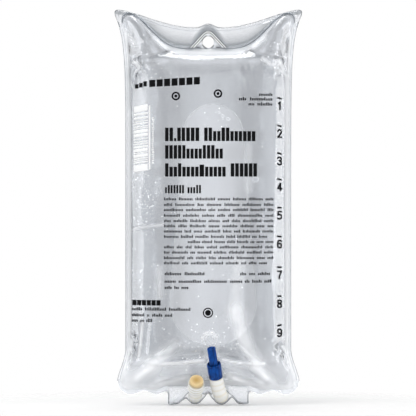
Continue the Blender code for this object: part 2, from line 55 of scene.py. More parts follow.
# Film, in millimetres, as the part has it
FILM_THICKNESS = 0.4
FILM_GAP = 0.15            # half the space between the two films where they are welded
FILM_HALF_WIDTH = 75.0
SIDE_WELD_WIDTH = 2.0
WELD_X = FILM_HALF_WIDTH - SIDE_WELD_WIDTH
TAB_HALF_WIDTH = 33.0
TAB_LENGTH = 15.4
TAB_CORNER_RADIUS = 5.0
WAIST_HALF_WIDTH = 66.0
TOP_FLARE = 11.0
TOP_FLARE_LENGTH = 18.0
BOTTOM_FLARE = 7.0
BOTTOM_FLARE_HEIGHT = 30.0
TOP_CORNER_Z = 26.0
TOP_CORNER_RADIUS = 5.0
TOP_EDGE_SAG = 14.8
HANGER_PEAK = 3.4
HANGER_PEAK_WIDTH = 6.0
CHAMBER_TOP_Z = -6.0
EAR_RISE = 28.5
EAR_TIP_X = 63.0
EAR_CORNER_HEIGHT = 12.0
EAR_POWER = 2.6
CHAMBER_BOTTOM_Z = -275.0
CHAMBER_BOTTOM_DROP = 3.0
CHAMBER_DROP_WIDTH = 12.0
BOTTOM_CORNER_RADIUS = 8.0
BOTTOM_WELD_WIDTH = 4.4
BOTTOM_EDGE_DROP = 1.0
RUFFLE_PITCH = 22.0
RUFFLE_START = 41.5
RUFFLE_RISE = 1.4
RUFFLE_DEPTH = 1.6
HANGER_HOLE_RADIUS = 4.65
CURL_RADIUS = 8.0
LOBE_DROP = 5.4
GUSSET_RISE = 3.0
SKIRT_REACH = 1.3          # the film leaves a tube for the weld at this many radii
SKIRT_ROUNDING = 0.9
SLEEVE_FOOT = 7.35
TAB_WAVES = 1.5
TAB_CRUMPLES = 0.6

# Ports, as the part has them
PORT_X = 10.85
PORT_WALL = 1.1
PORT_ROOT = 1.0
LEAN_START = 60.0
PATH_STEP = 0.25
SEAT_GAP = 0.3
TUBE_WELD_GAP = 0.5
PATH_BEYOND = 32.0         # the line goes on past the tube's end for what stands on it
PORT_SIDES = 48

# The flat cut pattern that the cloth solver fills
CUT_BOTTOM_Z = -280.0
CUT_TOP_Z = -1.0
CUT_EAR_Z = 22.5
CUT_EDGE_Z = 27.0
CUT_EDGE_SAG = 10.0
CLOTH_SCALE = 10.0         # the solver is steadier on a bag ten times the size
CLOTH_FRAMES = 45
CLOTH = {
    "quality": 8, "mass": 0.3, "tension_stiffness": 80.0, "compression_stiffness": 80.0,
    "shear_stiffness": 80.0, "bending_stiffness": 0.05, "tension_damping": 15.0,
    "compression_damping": 15.0, "shear_damping": 15.0, "bending_damping": 0.2, "air_damping": 5.0,
    "use_pressure": True, "uniform_pressure_force": 0.0, "use_pressure_volume": True,
    "target_volume": 1.12,     # filled volume, as a share of the start shape's
    "pressure_factor": 20.0,
}

# The rough pillow that the solver starts from
START_DEPTH = 22.0
START_TOP_TAPER = 8.0
START_BOTTOM_TAPER = 14.0
START_DRAW = 0.1           # share by which the filled middle draws in across
START_JITTER = 0.15
LEAST_START_DEPTH = 0.3
WELD_HOLD = 8              # the higher, the nearer the welds the fit to them stays

# Grid of the film: columns across, rows up
COLUMNS = 60
SIDE_COLUMNS = 1
BOTTOM_ROWS = 2
CHAMBER_ROWS = 118
HEADER_ROWS = 8
ROWS = BOTTOM_ROWS + CHAMBER_ROWS + HEADER_ROWS
FINER = 2                  # the shown film has this many times the solver's columns and rows
TAB_ROWS = 9


def smooth_step(t):
    t = max(0.0, min(1.0, t))
    return t * t * (3.0 - 2.0 * t)


def bell(distance, width):
    return math.exp(-(distance / width) ** 2)


def corner(x, start, end):
    """How far a rounded corner has fallen at x: 0 up to start, 1 at end, along a quarter circle."""
    t = max(0.0, min(1.0, (abs(x) - start) / (end - start)))
    return 1.0 - math.sqrt(1.0 - t * t)


def from_pixel(px, py):
    """Place on the bag, in millimetres, of a pixel of the photograph."""
    return (px - HOLE_PIXEL_X) * PIXEL, (HOLE_PIXEL_Y - py) * PIXEL


def to_pixel(x, z):
    """Pixel of the photograph that shows a place of the film's pattern."""
    return HOLE_PIXEL_X + front_view_x(x, z) / PIXEL, HOLE_PIXEL_Y - z / PIXEL


# Lines of the hung bag, as the part draws them

def top_edge(x):
    sag = TOP_EDGE_SAG * (1.0 - smooth_step((abs(x) / FILM_HALF_WIDTH) ** 1.5))
    peak = HANGER_PEAK * bell(x, HANGER_PEAK_WIDTH)
    rounding = TOP_CORNER_RADIUS * corner(x, FILM_HALF_WIDTH - TOP_CORNER_RADIUS, FILM_HALF_WIDTH)
    return TOP_CORNER_Z - sag + peak - rounding


def chamber_top(x):
    rise = EAR_RISE * smooth_step((min(abs(x), EAR_TIP_X) / EAR_TIP_X) ** EAR_POWER)
    return CHAMBER_TOP_Z + rise - EAR_CORNER_HEIGHT * corner(x, EAR_TIP_X, WELD_X)


def beside_tab(x):
    """0 above the tab, 1 where the bottom weld has dropped beside it."""
    return smooth_step((abs(x) - TAB_HALF_WIDTH) / CHAMBER_DROP_WIDTH)


def chamber_bottom(x):
    drop = CHAMBER_BOTTOM_DROP * beside_tab(x)
    rounding = BOTTOM_CORNER_RADIUS * corner(x, WELD_X - BOTTOM_CORNER_RADIUS, WELD_X)
    return CHAMBER_BOTTOM_Z - drop + rounding


def bottom_edge(x):
    wave = math.cos(2.0 * math.pi * (abs(x) - RUFFLE_START) / RUFFLE_PITCH)
    ruffle = RUFFLE_RISE * wave * smooth_step((abs(x) - TAB_HALF_WIDTH) / CURL_RADIUS)
    rounding = BOTTOM_CORNER_RADIUS * corner(x, FILM_HALF_WIDTH - BOTTOM_CORNER_RADIUS, FILM_HALF_WIDTH)
    drop = BOTTOM_EDGE_DROP * beside_tab(x)
    return CHAMBER_BOTTOM_Z - BOTTOM_WELD_WIDTH - drop - ruffle + rounding


def side_half_width(z):
    top = TOP_FLARE * math.exp(-(TOP_CORNER_Z - z) / TOP_FLARE_LENGTH)
    bottom_start = CHAMBER_BOTTOM_Z + BOTTOM_FLARE_HEIGHT
    bottom = BOTTOM_FLARE * smooth_step((bottom_start - z) / BOTTOM_FLARE_HEIGHT)
    return WAIST_HALF_WIDTH + top + bottom


def front_view_x(x, z):
    return x * side_half_width(z) / FILM_HALF_WIDTH


def in_chamber_width(x):
    return max(-WELD_X, min(WELD_X, x))


# The flat cut pattern, before the bag is filled

def column_place(column):
    """Pattern place across the film of a grid column, which may be a fraction."""
    if column <= SIDE_COLUMNS:
        return -FILM_HALF_WIDTH + SIDE_WELD_WIDTH * column / SIDE_COLUMNS
    if column >= COLUMNS - SIDE_COLUMNS:
        return FILM_HALF_WIDTH - SIDE_WELD_WIDTH * (COLUMNS - column) / SIDE_COLUMNS
    return -WELD_X + 2.0 * WELD_X * (column - SIDE_COLUMNS) / (COLUMNS - 2 * SIDE_COLUMNS)


def cut_height(x, row):
    """Height in the flat pattern of a grid row."""
    place = in_chamber_width(x)
    ear = (CUT_EAR_Z - CUT_TOP_Z) * smooth_step((min(abs(place), EAR_TIP_X) / EAR_TIP_X) ** EAR_POWER)
    top = CUT_TOP_Z + ear - EAR_CORNER_HEIGHT * corner(place, EAR_TIP_X, WELD_X)
    bottom = CUT_BOTTOM_Z
    bottom += BOTTOM_CORNER_RADIUS * corner(place, WELD_X - BOTTOM_CORNER_RADIUS, WELD_X)
    if row < BOTTOM_ROWS:
        return bottom - BOTTOM_WELD_WIDTH * (1.0 - row / BOTTOM_ROWS)
    if row <= BOTTOM_ROWS + CHAMBER_ROWS:
        return bottom + (top - bottom) * (row - BOTTOM_ROWS) / CHAMBER_ROWS
    sag = CUT_EDGE_SAG * (1.0 - smooth_step((abs(x) / FILM_HALF_WIDTH) ** 1.5))
    rounding = TOP_CORNER_RADIUS * corner(x, FILM_HALF_WIDTH - TOP_CORNER_RADIUS, FILM_HALF_WIDTH)
    edge = CUT_EDGE_Z - sag - rounding
    return top + (edge - top) * (row - BOTTOM_ROWS - CHAMBER_ROWS) / HEADER_ROWS


def in_chamber(column, row):
    across = SIDE_COLUMNS < column < COLUMNS - SIDE_COLUMNS
    return across and BOTTOM_ROWS < row < BOTTOM_ROWS + CHAMBER_ROWS


def start_place(x, z):
    """A rough pillow for the solver to start from: place across and half-depth."""
    across = min(1.0, abs(x) / WELD_X)
    low = cut_height(x, BOTTOM_ROWS)
    high = cut_height(x, BOTTOM_ROWS + CHAMBER_ROWS)
    up = max(0.0, min(1.0, (z - low) / (high - low)))
    depth = START_DEPTH * (1.0 - across ** 2.2) ** 0.75
    depth *= 1.0 - math.exp(-max(0.0, high - z) / START_TOP_TAPER)
    depth *= 1.0 - math.exp(-max(0.0, z - low) / START_BOTTOM_TAPER)
    drawn_in = 1.0 - START_DRAW * (1.0 - (2.0 * up - 1.0) ** 6)
    return x * drawn_in, depth


# Meshes

def grid(bm, finer):
    """Grid with its column and row numbers kept in two layers of its points."""
    bmesh.ops.create_grid(bm, x_segments=COLUMNS * finer, y_segments=ROWS * finer, size=0.5)
    column_layer = bm.verts.layers.float.new("column")
    row_layer = bm.verts.layers.float.new("row")
    for vert in bm.verts:
        vert[column_layer] = round((vert.co.x + 0.5) * COLUMNS * finer) / finer
        vert[row_layer] = round((vert.co.y + 0.5) * ROWS * finer) / finer
    return column_layer, row_layer


def only(kind, geometry):
    """Only the verts, edges or faces of what a mesh operator gives back."""
    return [item for item in geometry if isinstance(item, kind)]


def chamber_faces(bm, column_layer, row_layer):
    found = []
    for face in bm.faces:
        column = sum(vert[column_layer] for vert in face.verts) / len(face.verts)
        row = sum(vert[row_layer] for vert in face.verts) / len(face.verts)
        if in_chamber(column, row):
            found.append(face)
    return found


def two_layers(finer):
    """The bag as one mesh: a front sheet, and a back sheet of its chamber that shares its welds."""
    bm = bmesh.new()
    column_layer, row_layer = grid(bm, finer)
    side_layer = bm.verts.layers.int.new("side")
    copied = bmesh.ops.duplicate(bm, geom=chamber_faces(bm, column_layer, row_layer))
    back_verts = only(bmesh.types.BMVert, copied["geom"])
    for vert in back_verts:
        vert[side_layer] = BACK
    bmesh.ops.reverse_faces(bm, faces=only(bmesh.types.BMFace, copied["geom"]))
    welded = {}
    for vert in back_verts:
        if not in_chamber(vert[column_layer], vert[row_layer]):
            welded[vert] = copied["vert_map"][vert]
    bmesh.ops.weld_verts(bm, targetmap=welded)
    return bm, column_layer, row_layer, side_layer


def new_piece(name, bm, material):
    mesh = bpy.data.meshes.new(name)
    bm.to_mesh(mesh)
    bm.free()
    if material:
        mesh.materials.append(material)
    mesh.shade_smooth()
    piece = bpy.data.objects.new(name, mesh)
    bpy.context.scene.collection.objects.link(piece)
    return piece


def applied(piece):
    """Puts the result of a piece's modifiers into its mesh."""
    depsgraph = bpy.context.evaluated_depsgraph_get()
    shaped = bpy.data.meshes.new_from_object(piece.evaluated_get(depsgraph), depsgraph=depsgraph)
    piece.modifiers.clear()
    old = piece.data
    piece.data = shaped
    shaped.name = piece.name
    bpy.data.meshes.remove(old)
    return piece


def filled_chamber():
    """Fills the flat bag with the cloth solver. Gives places as [side, column, row, xyz]."""
    bm, column_layer, row_layer, side_layer = two_layers(1)
    draw = random.Random(3)
    cut = []
    keys = []
    for vert in bm.verts:
        column, row, side = vert[column_layer], vert[row_layer], vert[side_layer]
        x = column_place(column)
        z = cut_height(x, row)
        across, depth = start_place(x, z)
        y = draw.uniform(-START_JITTER, START_JITTER)
        if in_chamber(column, row):
            y = OUTWARD[side] * max(depth, LEAST_START_DEPTH)
        vert.co = Vector((across, y, z)) * MM * CLOTH_SCALE
        cut.append(Vector((x, 0.0, z)) * MM * CLOTH_SCALE)
        keys.append((side, round(column), round(row)))
    bag = new_piece("bag_to_fill", bm, None)

    bag.shape_key_add(name="start")
    flat = bag.shape_key_add(name="cut")
    for point, place in zip(flat.data, cut):
        point.co = place
    flat.value = 0.0
    cloth = bag.modifiers.new("filling", "CLOTH")
    cloth.settings.rest_shape_key = flat
    for name, value in CLOTH.items():
        setattr(cloth.settings, name, value)
    cloth.settings.effector_weights.gravity = 0.0
    cloth.collision_settings.use_collision = False
    cloth.point_cache.frame_end = CLOTH_FRAMES
    scene = bpy.context.scene
    scene.frame_end = CLOTH_FRAMES
    for number in range(1, CLOTH_FRAMES + 1):
        scene.frame_set(number)

    depsgraph = bpy.context.evaluated_depsgraph_get()
    shaped = bag.evaluated_get(depsgraph)
    places = np.zeros((2, COLUMNS + 1, ROWS + 1, 3))
    for vert, (side, column, row) in zip(shaped.data.vertices, keys):
        place = np.array(vert.co) / (MM * CLOTH_SCALE)
        places[side, column, row] = place
        if not in_chamber(column, row):
            places[BACK, column, row] = place
    bpy.data.objects.remove(bag)
    inner_columns = slice(SIDE_COLUMNS, COLUMNS - SIDE_COLUMNS + 1)
    inner_rows = slice(BOTTOM_ROWS, BOTTOM_ROWS + CHAMBER_ROWS + 1)
    return places[:, inner_columns, inner_rows]


def fitted_to_welds(places):
    """Moves the filled chamber so that its edge lies on the part's welds."""
    columns, rows = places.shape[1:3]
    seam_z = (places[0, 0, :, 2] + places[0, -1, :, 2]) / 2.0
    seam_x = (places[0, -1, :, 0] - places[0, 0, :, 0]) / 2.0
    order = np.argsort(seam_z)
    half_width = np.interp(places[..., 2], seam_z[order], seam_x[order])
    wanted = np.vectorize(side_half_width)(places[..., 2]) * WELD_X / FILM_HALF_WIDTH
    places[..., 0] *= wanted / half_width

    for column in range(columns):
        x = column_place(column + SIDE_COLUMNS)
        low = np.array((front_view_x(x, chamber_bottom(x)), 0.0, chamber_bottom(x)))
        high = np.array((front_view_x(x, chamber_top(x)), 0.0, chamber_top(x)))
        low_shift = low - places[FRONT, column, 0]
        high_shift = high - places[FRONT, column, -1]
        for row in range(rows):
            up = row / (rows - 1)
            places[:, column, row] += low_shift * (1.0 - up) ** WELD_HOLD + high_shift * up ** WELD_HOLD
    return places


def made_finer(places):
    """Doubles the columns and rows, with new points on smooth curves through the old ones."""
    for axis in (1, 2):
        count = places.shape[axis]
        before = 2.0 * places.take([0], axis) - places.take([1], axis)
        after = 2.0 * places.take([count - 1], axis) - places.take([count - 2], axis)
        padded = np.concatenate((before, places, after), axis)
        a = padded.take(range(0, count - 1), axis)
        b = padded.take(range(1, count), axis)
        c = padded.take(range(2, count + 1), axis)
        d = padded.take(range(3, count + 2), axis)
        between = (9.0 * (b + c) - a - d) / 16.0
        shape = list(places.shape)
        shape[axis] = 2 * count - 1
        finer = np.zeros(shape)
        even = [slice(None)] * 4
        odd = [slice(None)] * 4
        even[axis] = slice(0, None, 2)
        odd[axis] = slice(1, None, 2)
        finer[tuple(even)] = places
        finer[tuple(odd)] = between
        places = finer
    return places


# Folds and dents that the filled film has. Each fold is a ridge between two pixels of the
# photograph, with its width and height in millimetres; a height below zero is a groove.

FRONT_FOLDS = (
    ((131, 386), (158, 363), 5.0, 1.7),
    ((148, 364), (180, 342), 5.0, 1.9),
    ((120, 366), (150, 363), 2.6, -0.9),
    ((150, 363), (186, 360), 2.2, 1.2),
    ((186, 360), (204, 360), 2.2, 1.3),
    ((156, 356), (200, 352), 5.0, -1.2),
    ((219, 359), (243, 364), 2.2, 1.2),
    ((243, 364), (262, 363), 2.4, 0.9),
    ((222, 351), (244, 356), 5.0, -1.1),
    ((235, 342), (252, 361), 3.0, 1.6),
    ((246, 364), (278, 388), 4.0, 1.6),
    ((262, 370), (242, 352), 5.0, 0.8),
    ((290, 372), (282, 350), 3.0, -1.0),
    ((142, 322), (141, 345), 1.8, 1.5),
    ((141, 345), (138, 358), 1.8, 1.3),
    ((148, 324), (145, 352), 4.0, -0.5),
    ((133, 342), (137, 358), 3.0, -1.2),
    ((152, 384), (178, 373), 2.4, 0.9),
    ((178, 373), (192, 372), 2.4, 0.8),
    ((232, 371), (262, 384), 2.4, 1.0),
    ((226, 378), (248, 382), 2.0, 0.7),
    ((150, 38), (146, 56), 4.0, -0.4),
    ((128, 20), (150, 48), 3.5, 0.35),
    ((134, 36), (148, 42), 3.0, 0.35),
    ((288, 18), (262, 48), 3.5, 0.35),
    ((270, 44), (290, 40), 3.0, 0.35),
    ((136, 60), (134, 84), 3.0, -0.9),
    ((284, 60), (287, 82), 3.0, -0.9),
    ((132, 229), (160, 225), 2.4, 0.6),
    ((128, 150), (130, 210), 2.4, 0.5),
    ((168, 260), (166, 330), 7.0, 0.5),
    ((248, 250), (243, 340), 7.0, 0.6),
    ((214, 60), (216, 92), 4.0, 0.4),
    ((238, 70), (262, 100), 6.0, 0.4),
)

# Painted highlights and painted shade on the front film, each along a line between two pixels of the
# photograph, with its
# reach in pixels and its strength: above zero a painted highlight whitens the film there, below zero painted
# shade greys it.
PAINTED_HIGHLIGHTS_AND_SHADE = (
    ((134, 380), (152, 365), 7.5, 0.36),
    ((137, 378), (152, 365), 3.0, 0.26),
    ((152, 365), (176, 346), 7.0, 0.38),
    ((150, 366), (171, 349), 3.0, 0.2),
    ((123, 372), (128, 388), 5.0, 0.25),
    ((256, 366), (272, 383), 5.5, 0.36),
    ((256, 365), (267, 378), 2.0, 0.4),
    ((295, 370), (289, 388), 5.0, 0.25),
    ((238, 262), (234, 316), 5.0, 0.2),
    ((236, 310), (245, 344), 7.0, 0.42),
    ((243, 336), (256, 362), 6.0, 0.4),
    ((160, 363.6), (186, 361.6), 1.4, 0.7),
    ((186, 361.6), (205, 359), 1.6, 0.85),
    ((222, 359), (240, 362), 1.4, 0.65),
    ((240, 362), (264, 363), 1.3, 0.45),
    ((143, 322), (140.5, 345), 1.3, 0.9),
    ((140.5, 345), (139, 356), 1.5, 0.8),
    ((152, 386), (188, 377), 3.6, 0.35),
    ((160, 384), (184, 378), 1.6, 0.4),
    ((230, 374), (252, 386), 3.4, 0.35),
    ((234, 377), (250, 385), 1.6, 0.5),
    ((160, 383), (260, 383), 5.0, 0.35),
    ((134, 229), (163, 224.5), 1.8, 0.45),
    ((159, 268), (160, 296), 3.6, 0.3),
    ((248, 146), (249, 190), 3.4, 0.24),
    ((156, 38), (166, 47), 3.0, 0.35),
    ((264, 38), (254, 47), 3.0, 0.35),
    ((121, 30), (134, 44), 2.6, 0.3),
    ((134, 62), (139, 66), 1.8, 0.75),
    ((136, 72), (140, 68), 1.4, 0.6),
    ((262, 59), (270, 65), 1.8, 0.6),
    ((274, 66), (279, 60), 1.4, 0.6),
    ((280, 63), (284, 74), 1.8, 0.75),
    ((282, 346), (287, 352), 1.8, 0.7),
    ((132, 340), (131, 350), 1.6, 0.6),
    ((286, 76), (286.5, 344), 2.2, 0.55),
    ((129, 110), (129.5, 330), 1.7, 0.5),
    ((160, 56), (171, 53), 3.6, -0.5),
    ((257, 56), (246, 53), 3.6, -0.5),
    ((168, 51.4), (250, 51.4), 0.9, -0.16),
    ((158, 55.8), (260, 55.8), 2.0, -0.42),
    ((131, 24), (146, 46), 9.0, -0.2),
    ((286, 24), (270, 46), 9.0, -0.2),
    ((279.5, 90), (279.5, 340), 4.0, 0.16),
    ((202.5, 337), (206, 332.6), 1.4, 0.65),
    ((206, 332.6), (212, 332), 1.4, 0.75),
    ((212, 332), (216.5, 336), 1.4, 0.65),
    ((178, 350), (204, 352), 5.6, -0.5),
    ((224, 350), (236, 355), 4.8, -0.5),
    ((150, 328), (150, 348), 3.6, -0.5),
    ((134, 344), (137, 354), 3.2, -0.45),
    ((193, 366), (194, 376), 4.4, -0.4),
    ((222, 366), (226, 376), 3.0, -0.35),
    ((142, 65), (147, 76), 3.2, -0.6),
    ((131, 62), (130, 78), 2.0, -0.6),
    ((263, 66), (271, 73), 3.2, -0.5),
    ((276, 72), (279, 84), 2.6, -0.4),
    ((130, 61), (160, 57.4), 1.3, -0.6),
    ((160, 57.4), (208, 59), 1.3, -0.4),
    ((208, 59), (258, 57.4), 1.3, -0.4),
    ((258, 57.4), (287, 60), 1.3, -0.6),
    ((264, 330), (280, 350), 5.0, -0.35),
    ((246, 368), (254, 382), 3.0, -0.2),
    ((146, 174), (146, 222), 10.0, -0.3),
    ((146, 236), (148, 296), 10.0, -0.3),
    ((272, 96), (272, 320), 8.0, -0.16),
)
PUCKERS = ((133, 66), (289, 66), (131, 343), (286, 350))
PUCKER_RADIUS = 9.0
SHOULDER_CREASE_Z = -12.5
SHOULDER_CREASE_DROP = 4.0
CREASE_HEIGHT = 0.8
CREASE_WIDTH = 2.4
BASE_CREASE_Z = -255.0
BASE_CREASE_HEIGHT = 1.2
PUCKER_GRAIN = 3.6         # millimetres, of the crumples at the four corners of the chamber
PUCKER_HEIGHT = 2.4
PUCKER_SINK = 0.6
SEAM_SHIRR = 0.9           # small gathers along the side welds
EAR_CALM = 0.85            # share by which they are calmer in the ears
BROAD_WAVES = 0.7
FINE_WAVES = 0.16
FOLD_STRENGTH = 1.4        # the filled film shows its folds this much higher than they are drawn
WELD_HELD = 9.0            # the relief fades out where the chamber is thinner than this

# How far painted highlight whitens the film in each place, from 0 to 1, and how far painted shade greys the
# body beside its oval mark
EDGE_PAINTED_HIGHLIGHT = {
    "weld": 0.25, "tab": 0.05, "side": 0.75, "top": 0.5, "clearer_ear": 0.3, "bottom": 0.6, "base": 0.2,
}
BODY_PAINTED_SHADE = 0.34

# Long oval mark: its middle column, and each end's row and radius
REST_X = 213.0
REST_TOP = (135.0, 30.0)
REST_BOTTOM = (302.0, 43.0)
FILLING_MARK = (209.5, 339.0)


def gap_to_line(x, y, start, end):
    across = end[0] - start[0]
    up = end[1] - start[1]
    part = ((x - start[0]) * across + (y - start[1]) * up) / (across ** 2 + up ** 2)
    nearest = max(0.0, min(1.0, part))
    return math.hypot(x - start[0] - nearest * across, y - start[1] - nearest * up)


def fold_relief(x, z, fold):
    start, end, width, height = fold
    gap = gap_to_line(x, z, from_pixel(*start), from_pixel(*end))
    if gap > 3.0 * width:
        return 0.0
    return FOLD_STRENGTH * height * bell(gap, width / 2.0)


def relief(x, z, side):
    """How far the film stands out from the smooth filled shape, before its welds hold it."""
    out = 0.0
    crease = SHOULDER_CREASE_Z - SHOULDER_CREASE_DROP * (x / WELD_X) ** 2
    out += CREASE_HEIGHT * bell(z - crease, CREASE_WIDTH) * smooth_step((WELD_X - 6.0 - abs(x)) / 8.0)
    out -= CREASE_HEIGHT * bell(z - crease - SHOULDER_CREASE_DROP, CREASE_WIDTH)
    base = BASE_CREASE_Z - 1.5 * (x / 40.0) ** 2
    out += BASE_CREASE_HEIGHT * bell(z - base, 2.0) * smooth_step((48.0 - abs(x)) / 20.0)
    if side == FRONT:
        for fold in FRONT_FOLDS:
            out += fold_relief(x, z, fold)
    for pixel in PUCKERS:
        px, pz = from_pixel(*pixel)
        reach = bell(math.hypot(x - px, z - pz), PUCKER_RADIUS)
        crumple = noise.noise(Vector((x, 40.0 * side, z)) / PUCKER_GRAIN)
        out += reach * (PUCKER_HEIGHT * crumple - PUCKER_SINK)
    seam = WELD_X - abs(x)
    calm = 1.0 - EAR_CALM * smooth_step((z + 22.0) / 12.0)
    shirr = noise.noise(Vector((x / 6.0, 20.0 * side, z / 3.4)))
    out += SEAM_SHIRR * calm * bell(seam - 4.5, 4.0) * shirr
    broad = noise.noise(Vector((x / 30.0, 9.0 * side, z / 46.0)))
    fine = noise.noise(Vector((x / 11.0, 9.0 * side + 4.0, z / 17.0)))
    return out + BROAD_WAVES * broad + FINE_WAVES * fine


def film_place(chamber, column, row, side):
    """Place of the inner face of one film, in millimetres."""
    x = column_place(column)
    top_row = BOTTOM_ROWS + CHAMBER_ROWS
    place = in_chamber_width(x)
    if row > top_row:
        part = (row - top_row) / HEADER_ROWS
        low = chamber_top(place)
        z = low + (top_edge(x) - low) * part
        return header_place(x, z, part, side)
    if row < BOTTOM_ROWS:
        low = chamber_bottom(place)
        edge = bottom_edge(x)
        if row >= 0.0:
            z = low + (edge - low) * (1.0 - row / BOTTOM_ROWS)
        else:
            rounding = corner(x, TAB_HALF_WIDTH - TAB_CORNER_RADIUS, TAB_HALF_WIDTH)
            reach = TAB_LENGTH - BOTTOM_WELD_WIDTH - TAB_CORNER_RADIUS * rounding
            z = edge + reach * row / TAB_ROWS
        return below_weld_place(x, z, side)
    k = round((row - BOTTOM_ROWS) * FINER)
    c = round((column - SIDE_COLUMNS) * FINER)
    last = chamber.shape[1] - 1
    if c < 0 or c > last:
        edge_place = chamber[FRONT, 0 if c < 0 else last, k]
        out = Vector((front_view_x(x, edge_place[2]), edge_place[1], edge_place[2]))
        out.y += OUTWARD[side] * FILM_GAP
        return out
    return Vector(chamber[side, c, k]) + Vector((0.0, OUTWARD[side] * FILM_GAP, 0.0))


def header_place(x, z, part, side):
    """The slack header above the U-shaped weld, with the fold that peaks over the hole."""
    away = smooth_step((abs(x) - 9.0) / 14.0)
    middle = math.sin(math.pi * part)
    puff = 1.9 * middle * away
    puff += 0.8 * middle * away * math.sin(abs(x) / 4.2 + 6.0 * part)
    flank = abs(x) - 1.5 - 0.85 * (top_edge(0.0) - z)
    peak = 1.6 * bell(flank, 3.0) * smooth_step((part - 0.15) / 0.2) * (1.0 - part ** 6)
    return Vector((front_view_x(x, z), OUTWARD[side] * (FILM_GAP + puff + peak), z))


def in_rest_mark(px, py):
    """1 inside the long oval mark of the body, 0 outside it."""
    up = max(0.0, min(1.0, (REST_BOTTOM[0] - py) / (REST_BOTTOM[0] - REST_TOP[0])))
    radius = REST_BOTTOM[1] + (REST_TOP[1] - REST_BOTTOM[1]) * up
    nearest = max(REST_TOP[0], min(REST_BOTTOM[0], py))
    return smooth_step((radius - math.hypot(px - REST_X, py - nearest)) / 1.5 + 0.5)


def header_smoke(x, z, above):
    """How far painted shade greys the slack header film, from 0 to 1."""
    wing = smooth_step((abs(x) - 9.0) / 6.0) * (1.0 - smooth_step((abs(x) - 44.0) / 16.0))
    grey = wing * (0.08 + 0.5 * bell(above - 4.5, 5.5) + 0.42 * bell(above - 3.4, 1.5))
    fallen = top_edge(0.0) - z
    flank = 3.0 + 1.15 * fallen - abs(x)
    in_triangle = smooth_step((7.6 - z - abs(x)) / 1.2)
    spread = min(1.0, max(0.0, flank / (2.5 + 0.35 * fallen)))
    peak = spread * (1.0 - in_triangle) * (1.0 - 0.3 * smooth_step((z - 8.0) / 6.0))
    in_corner = in_triangle * smooth_step((-1.0 - z) / 2.0) * smooth_step((abs(x) - 4.5) / 2.0)
    return max(grey, peak, 0.5 * in_corner)


def edge_milk(x, z, above):
    """How far painted highlight whitens the film where it folds over to a weld of the chamber, and on the
    tab, from 0 to 1.
    """
    if above > 1.5:
        return 0.0
    low = z - chamber_bottom(in_chamber_width(x))
    if low < 0.0:
        return EDGE_PAINTED_HIGHLIGHT["weld"] if abs(x) > TAB_HALF_WIDTH else EDGE_PAINTED_HIGHLIGHT["tab"]
    side = EDGE_PAINTED_HIGHLIGHT["side"] * bell(WELD_X - abs(x), 2.6)
    ear = smooth_step((abs(x) - 20.0) / 40.0)
    top = (EDGE_PAINTED_HIGHLIGHT["top"] - EDGE_PAINTED_HIGHLIGHT["clearer_ear"] * ear) * smooth_step((above + 8.0 - 3.0 * ear) / 4.0)
    bottom = EDGE_PAINTED_HIGHLIGHT["bottom"] * bell(low, 5.5)
    base = EDGE_PAINTED_HIGHLIGHT["base"] * smooth_step((24.0 - low) / 10.0)
    return max(side, top, bottom, base)


def stroke(px, py, tone):
    """Strength at a pixel of one line of the film's painted highlight and painted shade."""
    start, end, reach, strength = tone
    gap = gap_to_line(px, py, start, end)
    return strength * bell(gap, reach) if gap < 2.5 * reach else 0.0


def film_tone(x, z, side):
    """How far painted highlight whitens a film and painted shade greys it, at a place of its pattern, both
    from 0 to 1.
    """
    above = z - chamber_top(in_chamber_width(x))
    clear = 1.0 - edge_milk(x, z, above)
    if above > -1.0:
        return 1.0 - clear, header_smoke(x, z, above)
    unshaded = 1.0
    if side == FRONT:
        px, py = to_pixel(x, z)
        # Painted shade greys the body outside its oval mark; each stroke adds painted highlight above zero
        # and painted shade below.
        beside_mark = (1.0 - in_rest_mark(px, py)) * smooth_step((-14.0 - z) / 12.0)
        unshaded -= BODY_PAINTED_SHADE * beside_mark * smooth_step((z - BASE_CREASE_Z) / 12.0)
        for tone in PAINTED_HIGHLIGHTS_AND_SHADE:
            strength = stroke(px, py, tone)
            clear *= 1.0 - max(0.0, strength)
            unshaded *= 1.0 + min(0.0, strength)
    return 1.0 - clear, 1.0 - unshaded


def tab_drop(x):
    lobe = smooth_step((abs(x) - PORT_X - SLEEVE_FOOT) / SLEEVE_FOOT)
    gusset = 1.0 - smooth_step(abs(x) / (PORT_X - SLEEVE_FOOT))
    return GUSSET_RISE * gusset - LOBE_DROP * lobe


def sleeve_depth(x, below):
    """Half-depth of the film drawn round a port tube, with flat flanks down to the weld."""
    place = front_view_x(x, CHAMBER_BOTTOM_Z)
    depth = 0.0
    for sizes in (INJECTION, OUTLET):
        radius = sizes["tube_radius"] + TUBE_WELD_GAP
        foot = radius * SKIRT_REACH
        tube_centre = sizes["line"][round(max(0.0, below) / PATH_STEP)][0]
        offset = abs(place - tube_centre.x)
        if offset < radius * radius / foot:
            depth = max(depth, math.sqrt(radius * radius - offset * offset))
        else:
            slope = radius / math.sqrt(foot * foot - radius * radius)
            fall = SKIRT_ROUNDING * math.log(1.0 + math.exp((foot - offset) / SKIRT_ROUNDING))
            depth = max(depth, slope * fall)
    return depth


def tab_crumple(x, below):
    """Small crumples of the tab's two welded films, none at the seal."""
    hold = smooth_step(below / 4.0) * smooth_step((TAB_HALF_WIDTH + 1.0 - abs(x)) / 3.0)
    broad = noise.noise(Vector((x / 5.5, below / 9.0, 3.0)))
    fine = noise.noise(Vector((x / 2.6, below / 5.0, 8.0)))
    return hold * (TAB_WAVES * broad + TAB_CRUMPLES * fine)


